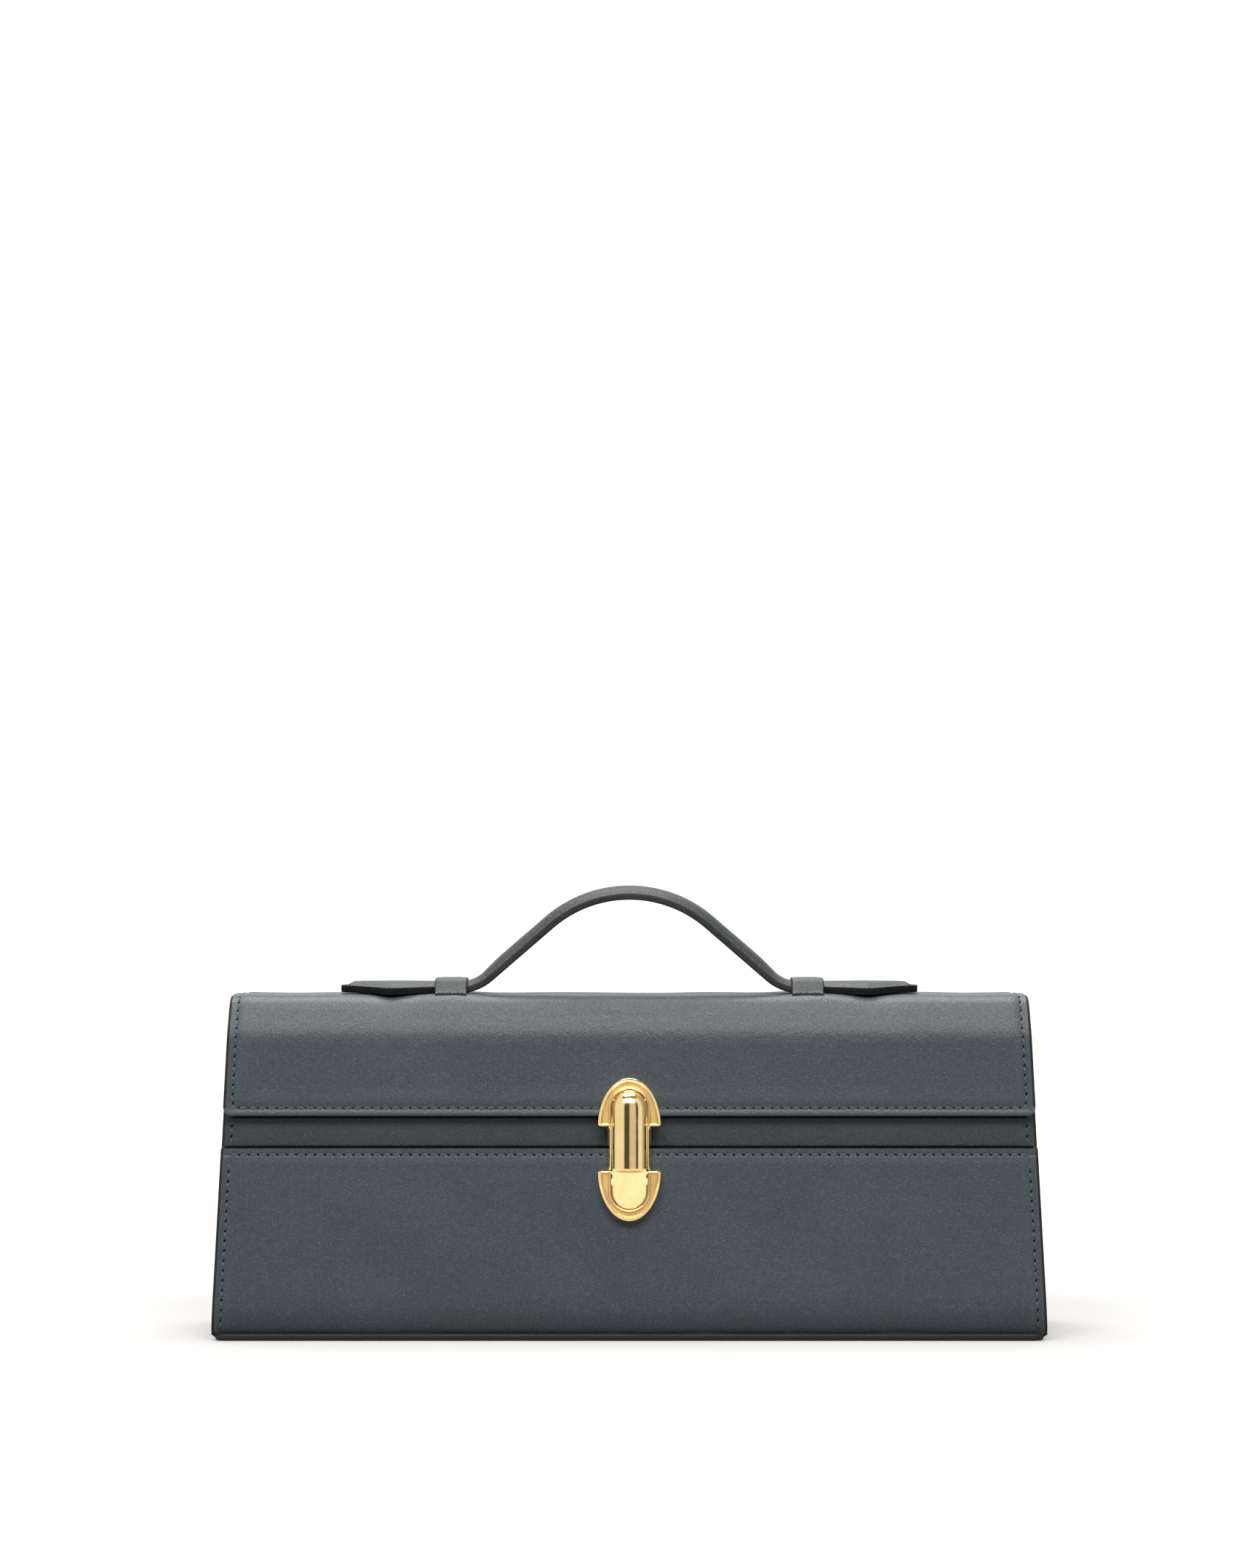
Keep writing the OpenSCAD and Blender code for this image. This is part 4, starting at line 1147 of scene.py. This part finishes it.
def band_points(straight, reach, bend):
    """Outer and inner edge of the horseshoe, from its end to its middle, and each row's end gap."""
    gap = np.concatenate([INNER_RIM_W * INNER_AT, np.linspace(1.1, straight, 12)])
    r = 0.75
    corner = r - np.sqrt(np.maximum(r**2 - np.clip(r - gap, 0, r) ** 2, 0))
    outer = [np.array([LOCK_W / 2 * math.sqrt(1 - (g / reach) ** 2) - c, g])
             for g, c in zip(gap, corner)]
    inner = [np.array([CHANNEL_R + 0.35 * c, g]) for g, c in zip(gap, corner)]
    start = math.asin(straight / reach)
    for f in np.linspace(0, 1, 22)[1:]:
        a = start + (math.pi / 2 - start) * f
        outer.append(np.array([LOCK_W / 2 * math.cos(a), reach * math.sin(a)]))
        b = math.pi / 2 * f
        inner.append(np.array([CHANNEL_R * math.cos(b), straight + bend * math.sin(b)]))
    return np.array(outer), np.array(inner)


def build_band(name, body, reach, straight, place_s, node):
    """Horseshoe of the lock's plate: polished rims round a sunk matte band."""
    outer, inner = band_points(straight, reach, CHANNEL_R)
    outer = np.concatenate([outer, (outer * [-1, 1])[-2::-1]])
    inner = np.concatenate([inner, (inner * [-1, 1])[-2::-1]])
    wide = np.linalg.norm(inner - outer, axis=1)
    near, far = RIM_W * RIM_AT, INNER_RIM_W * INNER_AT[::-1]
    d = np.concatenate([np.tile(near, (len(wide), 1)),
                        near[-1] + (wide - near[-1] - far[0])[:, None] * np.array([0.33, 0.67]),
                        wide[:, None] - far[None, :]], axis=1)
    t = d / wide[:, None]
    X = outer[:, :1] + (inner - outer)[:, :1] * t
    G = outer[:, 1:] + (inner - outer)[:, 1:] * t
    side = rim_height(d, RIM_W, RIM_AT, RIM_DROP)
    ends = rim_height(G, INNER_RIM_W, INNER_AT, INNER_DROP)
    top = np.maximum(side, rim_height(wide[:, None] - d, INNER_RIM_W, INNER_AT, INNER_DROP))
    top = np.where(d < RIM_W * 0.84, side, np.maximum(top, ends))
    top = np.minimum(top, np.interp(G, [0, 0.07, 0.2], [2.86, 3.05, 9.0]))
    sunk = top < SUNK + 0.05
    sunk &= d > RIM_W * 0.9
    paint = sunk[:-1, :-1] & sunk[1:, :-1] & sunk[:-1, 1:] & sunk[1:, 1:]
    obj = shell(name, X, G, top, np.zeros_like(top), lambda x, g, h: on_lock(x, place_s(g), h),
                ["gold", "gold", "gold_matte"], bulge=0.08, turns=6, square=0.5,
                paint=paint.astype(int) * 2)
    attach(obj, body)
    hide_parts(node)


def flat_plate(name, body, s_rows, half, top):
    """Thin floor of the lock under the lever."""
    us = np.linspace(-1, 1, 17)
    X, S = half[:, None] * us, np.repeat(s_rows[:, None], len(us), axis=1)
    obj = shell(name, X, S, np.full_like(X, top), np.zeros_like(X), on_lock, ["gold"] * 3,
                bulge=0.02, turns=3)
    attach(obj, body)


def build_neck():
    """Two rounded rails beside the lever, between the plates."""
    s = np.concatenate([FOOT_L + 0.3 + 1.6 * (1 - np.cos(np.linspace(0, math.pi / 2, 9))),
                        np.linspace(FOOT_L + 2.1, ARCH_S - 1.6, 20),
                        ARCH_S - 1.6 + 1.6 * np.sin(np.linspace(0, math.pi / 2, 9))[1:],
                        [ARCH_S + 0.6]])
    near = np.maximum(np.clip(s - ARCH_S + 1.6, 0, 1.6), np.clip(FOOT_L + 1.9 - s, 0, 1.6))
    out = NECK_W / 2 + 0.8 * (1.6 - np.sqrt(np.maximum(1.6**2 - near**2, 0)))
    us = np.linspace(0, 1, 13)
    for side, tag in ((-1, "left"), (1, "right")):
        X = side * (CHANNEL_R + (out - CHANNEL_R)[:, None] * us)
        S = np.repeat(s[:, None], len(us), axis=1)
        top = 2.75 - 0.5 * us - 1.3 * us**2 + 0 * X
        obj = shell(f"lock_neck_{tag}", X, S, top, np.zeros_like(X), on_lock, ["gold"] * 3,
                    bulge=0.05, turns=4)
        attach(obj, "flap")


def lever_height(X, S):
    """Barrel with a domed upper end, that ends on the flat thumb face below."""
    end = np.clip(S - (LEVER_S1 - LEVER_R), 0, None)
    barrel = CREST - CREST_R + np.sqrt(np.maximum(CREST_R**2 - X**2 - end**2, 0.01))
    face = 3.0 + 0.125 * (np.minimum(S, 16.5) - LEVER_S0) - 3.5 * step(16.2, 18.5, S)
    face = face - 0.2 * (X / LEVER_R) ** 2
    curve = 15.6 + 0.5 * (X / LEVER_R) ** 2
    fall = np.sqrt(np.clip(1 - (np.clip(curve + 1.2 - S, 0, 1.2) / 1.2) ** 2, 0, 1))
    return np.maximum(face + (barrel - face) * fall, face)


def build_lever():
    a = np.linspace(0, math.pi / 2, 14)
    low = LEVER_S0 + LEVER_R * (1 - np.cos(a))
    high = LEVER_S1 - LEVER_R * (1 - np.cos(a))[::-1]
    middle = np.concatenate([np.linspace(low[-1], 14.6, 8)[1:], np.arange(14.8, 18.9, 0.15),
                             np.linspace(19.2, high[0], 24)[:-1]])
    s = np.concatenate([low, middle, high])
    gap = np.maximum(np.clip(LEVER_S0 + LEVER_R - s, 0, None),
                     np.clip(s - LEVER_S1 + LEVER_R, 0, None))
    half = np.maximum(np.sqrt(np.maximum(LEVER_R**2 - gap**2, 0)), 0.25) - 0.15
    us = np.sin(np.linspace(-math.pi / 2, math.pi / 2, 49))
    X = half[:, None] * us
    S = np.repeat(s[:, None], len(us), axis=1)
    edge = np.minimum(half[:, None] * (1 - np.abs(us)), 1.0)
    top = lever_height(X, S) - 0.12 * (1 - step(0, 0.35, edge))
    cut = PIN_H + (S - PIN_S) * math.tan(OPEN) - (PIN_H - 1.1) / math.cos(OPEN)
    bottom = np.maximum(LEVER_BASE, np.where(S > PIN_S - 1, cut, 0))
    obj = shell("lock_lever_bar", X, S, np.maximum(top, bottom + 0.1), bottom, on_lock,
                ["gold"] * 3, bulge=0.15, turns=6, square=0.7)
    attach(obj, "lever")
    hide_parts("lock_lever")


def build_lock():
    foot_bend = LEVER_S0 - 0.4 + CHANNEL_R
    build_band("lock_lower", "body", FOOT_L, FOOT_L - foot_bend, lambda g: FOOT_L - g,
               "lock_lower_plate")
    arch_bend = LEVER_S1 + 0.4 - CHANNEL_R
    build_band("lock_upper", "flap", ARCH_L, arch_bend - ARCH_S, lambda g: ARCH_S + g,
               "lock_upper_plate")
    a = np.linspace(0, math.pi / 2, 10)
    r = CHANNEL_R + 0.5
    low = foot_bend - r * np.cos(a)
    flat_plate("lock_lower_floor", "body", np.append(low, FOOT_L),
               np.append(r * np.sin(a) + 0.05, r), 0.8)
    high = arch_bend + r * np.cos(a)[::-1]
    flat_plate("lock_upper_floor", "flap", np.concatenate([[FOOT_L + 0.3], high]),
               np.concatenate([[r], r * np.sin(a)[::-1] + 0.05]), 0.8)
    build_neck()
    build_lever()


# ---------------------------------------------------------------- CAD nodes that stay

STAY = {
    "base_stiffener": "board", "back_stiffener": "board", "lock_magnet": "magnet",
    "lower_backing_plate": "steel", "upper_backing_plate": "steel", "lower_screws": "steel",
    "upper_screws": "steel", "lever_pin": "steel", "lever_armature": "steel",
}
for node_name, finish in STAY.items():
    kept = frame["nodes"][node_name].data
    kept.materials.clear()
    kept.materials.append(M[finish])

build_flap()
build_fold()
build_pocket()
build_front_wall()
build_back_wall()
build_lining()
build_sole()
for one in (-1, 1):
    build_gusset(one)
    build_strap(one)
    build_tab(one)
    build_keeper(one)
build_lock()


# ---------------------------------------------------------------- studio


def studio_floor():
    """Pale floor: white to the eye, with the bag's shadow, and little light thrown back up."""
    mesh = bpy.data.meshes.new("floor")
    size = 9.0
    mesh.from_pydata([(-size, -3, 0), (size, -3, 0), (size, 14, 0), (-size, 14, 0)], [],
                     [(0, 1, 2, 3)])
    n = Nodes("floor")
    path = n.tree.nodes.new("ShaderNodeLightPath")
    seen = n.math("MAXIMUM", path.outputs["Is Camera Ray"], path.outputs["Is Glossy Ray"])
    seen = n.math("MAXIMUM", seen, path.outputs["Is Transmission Ray"])
    shader = n.add("ShaderNodeBsdfDiffuse")
    n.feed(shader, "Color", n.blend(seen, (0.12, 0.12, 0.12, 1), (0.5, 0.5, 0.5, 1)))
    glow = n.add("ShaderNodeEmission")
    glow.inputs["Color"].default_value = (1, 1, 1, 1)
    away = n.tree.nodes.new("ShaderNodeVectorMath")
    away.operation = "LENGTH"
    n.tree.links.new(n.scaled(1, 1, 1), away.inputs[0])
    far = n.span(away.outputs["Value"], 0.17, 0.6, 0.25, 1.0)
    mirrored = n.math("MULTIPLY", path.outputs["Is Glossy Ray"], 0.4)
    n.tree.links.new(n.math("MULTIPLY", n.math("SUBTRACT", seen, mirrored), far),
                     glow.inputs["Strength"])
    both = n.tree.nodes.new("ShaderNodeAddShader")
    n.tree.links.new(shader.outputs[0], both.inputs[0])
    n.tree.links.new(glow.outputs[0], both.inputs[1])
    n.tree.links.new(both.outputs[0], n.out.inputs["Surface"])
    mesh.materials.append(n.mat)
    obj = bpy.data.objects.new("floor", mesh)
    bpy.context.scene.collection.objects.link(obj)


def studio_world():
    """White all round for the eye and for reflections, but for a dark card in front of the bag."""
    world = bpy.data.worlds.new("studio")
    bpy.context.scene.world = world
    world.use_nodes = True
    tree = world.node_tree
    tree.nodes.clear()
    out = tree.nodes.new("ShaderNodeOutputWorld")
    at = tree.nodes.new("ShaderNodeTexCoord")
    split = tree.nodes.new("ShaderNodeSeparateXYZ")
    tree.links.new(at.outputs["Generated"], split.inputs[0])

    def math_node(op, a, b=0.0):
        node = tree.nodes.new("ShaderNodeMath")
        node.operation = op
        for socket, value in zip(node.inputs, (a, b)):
            if hasattr(value, "is_output"):
                tree.links.new(value, socket)
            else:
                socket.default_value = value
        return node.outputs[0]

    def ramp(value, a, b, low=0.0, high=1.0):
        node = tree.nodes.new("ShaderNodeMapRange")
        tree.links.new(value, node.inputs["Value"])
        for key, v in zip(("From Min", "From Max", "To Min", "To Max"), (a, b, low, high)):
            node.inputs[key].default_value = v
        return node.outputs["Result"]

    turn = math_node("ARCTAN2", split.outputs["X"],
                     math_node("MULTIPLY", split.outputs["Y"], -1.0))
    card = math_node("MULTIPLY", ramp(turn, -0.56, -0.5), ramp(turn, 0.9, 0.94, 1.0, 0.0))
    lit = math_node("MULTIPLY", ramp(turn, 0.0, 0.03), ramp(turn, 0.66, 0.69, 1.0, 0.0))
    card = math_node("SUBTRACT", card, math_node("MULTIPLY", lit, 0.7))
    card = math_node("MULTIPLY", card, ramp(split.outputs["Z"], 0.5, 0.62, 1.0, 0.0))
    aside = math_node("MULTIPLY", ramp(turn, 1.34, 1.44), ramp(turn, 2.2, 2.6, 1.0, 0.0))
    card = math_node("MAXIMUM", card, math_node("MULTIPLY", aside, 0.5))
    above = math_node("MULTIPLY", ramp(split.outputs["Z"], 0.8, 0.84),
                      ramp(split.outputs["Z"], 0.975, 0.985, 1.0, 0.0))
    above = math_node("MULTIPLY", above, ramp(split.outputs["Y"], -0.1, 0.0, 1.0, 0.0))
    card = math_node("MAXIMUM", card, math_node("MULTIPLY", above, 0.85))
    bright = ramp(card, 0.0, 1.0, 1.0, 0.08)
    seen = tree.nodes.new("ShaderNodeBackground")
    tree.links.new(bright, seen.inputs["Strength"])
    seen.inputs["Color"].default_value = (1, 1, 1, 1)
    fill = tree.nodes.new("ShaderNodeBackground")
    fill.inputs["Color"].default_value = (0.86, 0.94, 1, 1)
    fill.inputs["Strength"].default_value = 0.1
    path = tree.nodes.new("ShaderNodeLightPath")
    total = math_node("MAXIMUM", path.outputs["Is Camera Ray"], path.outputs["Is Glossy Ray"])
    total = math_node("MAXIMUM", total, path.outputs["Is Transmission Ray"])
    mix = tree.nodes.new("ShaderNodeMixShader")
    tree.links.new(total, mix.inputs[0])
    tree.links.new(fill.outputs[0], mix.inputs[1])
    tree.links.new(seen.outputs[0], mix.inputs[2])
    tree.links.new(mix.outputs[0], out.inputs["Surface"])


def area(name, at, target, size_x, size_y, power):
    data = bpy.data.lights.new(name, "AREA")
    data.shape, data.size, data.size_y, data.energy = "RECTANGLE", size_x, size_y, power
    data.color = (1.0, 0.97, 0.93)
    lamp = bpy.data.objects.new(name, data)
    lamp.location = at
    lamp.rotation_euler = (Vector(target) - Vector(at)).to_track_quat("-Z", "Y").to_euler()
    bpy.context.scene.collection.objects.link(lamp)


OVERHEAD, SOFTBOX = 26, 20
studio_floor()
studio_world()
area("overhead", (-0.05, 0.25, 1.5), (0, 0, 0.1), 1.1, 1.0, OVERHEAD)
area("softbox", (-0.05, -0.9, 1.15), (0, 0, 0.09), 1.5, 0.5, SOFTBOX)

lens = bpy.data.cameras.new("camera")
lens.lens, lens.sensor_width, lens.clip_start, lens.clip_end = 6267 / 2156 * 36, 36, 0.05, 60
camera = bpy.data.objects.new("camera", lens)
camera.location = (-0.0006, -1.5, 0.19)
camera.rotation_euler = (math.radians(90 - 0.384), 0, 0)
bpy.context.scene.collection.objects.link(camera)
bpy.context.scene.camera = camera
bpy.context.scene.view_settings.view_transform = "Standard"

bpy.context.view_layer.update()
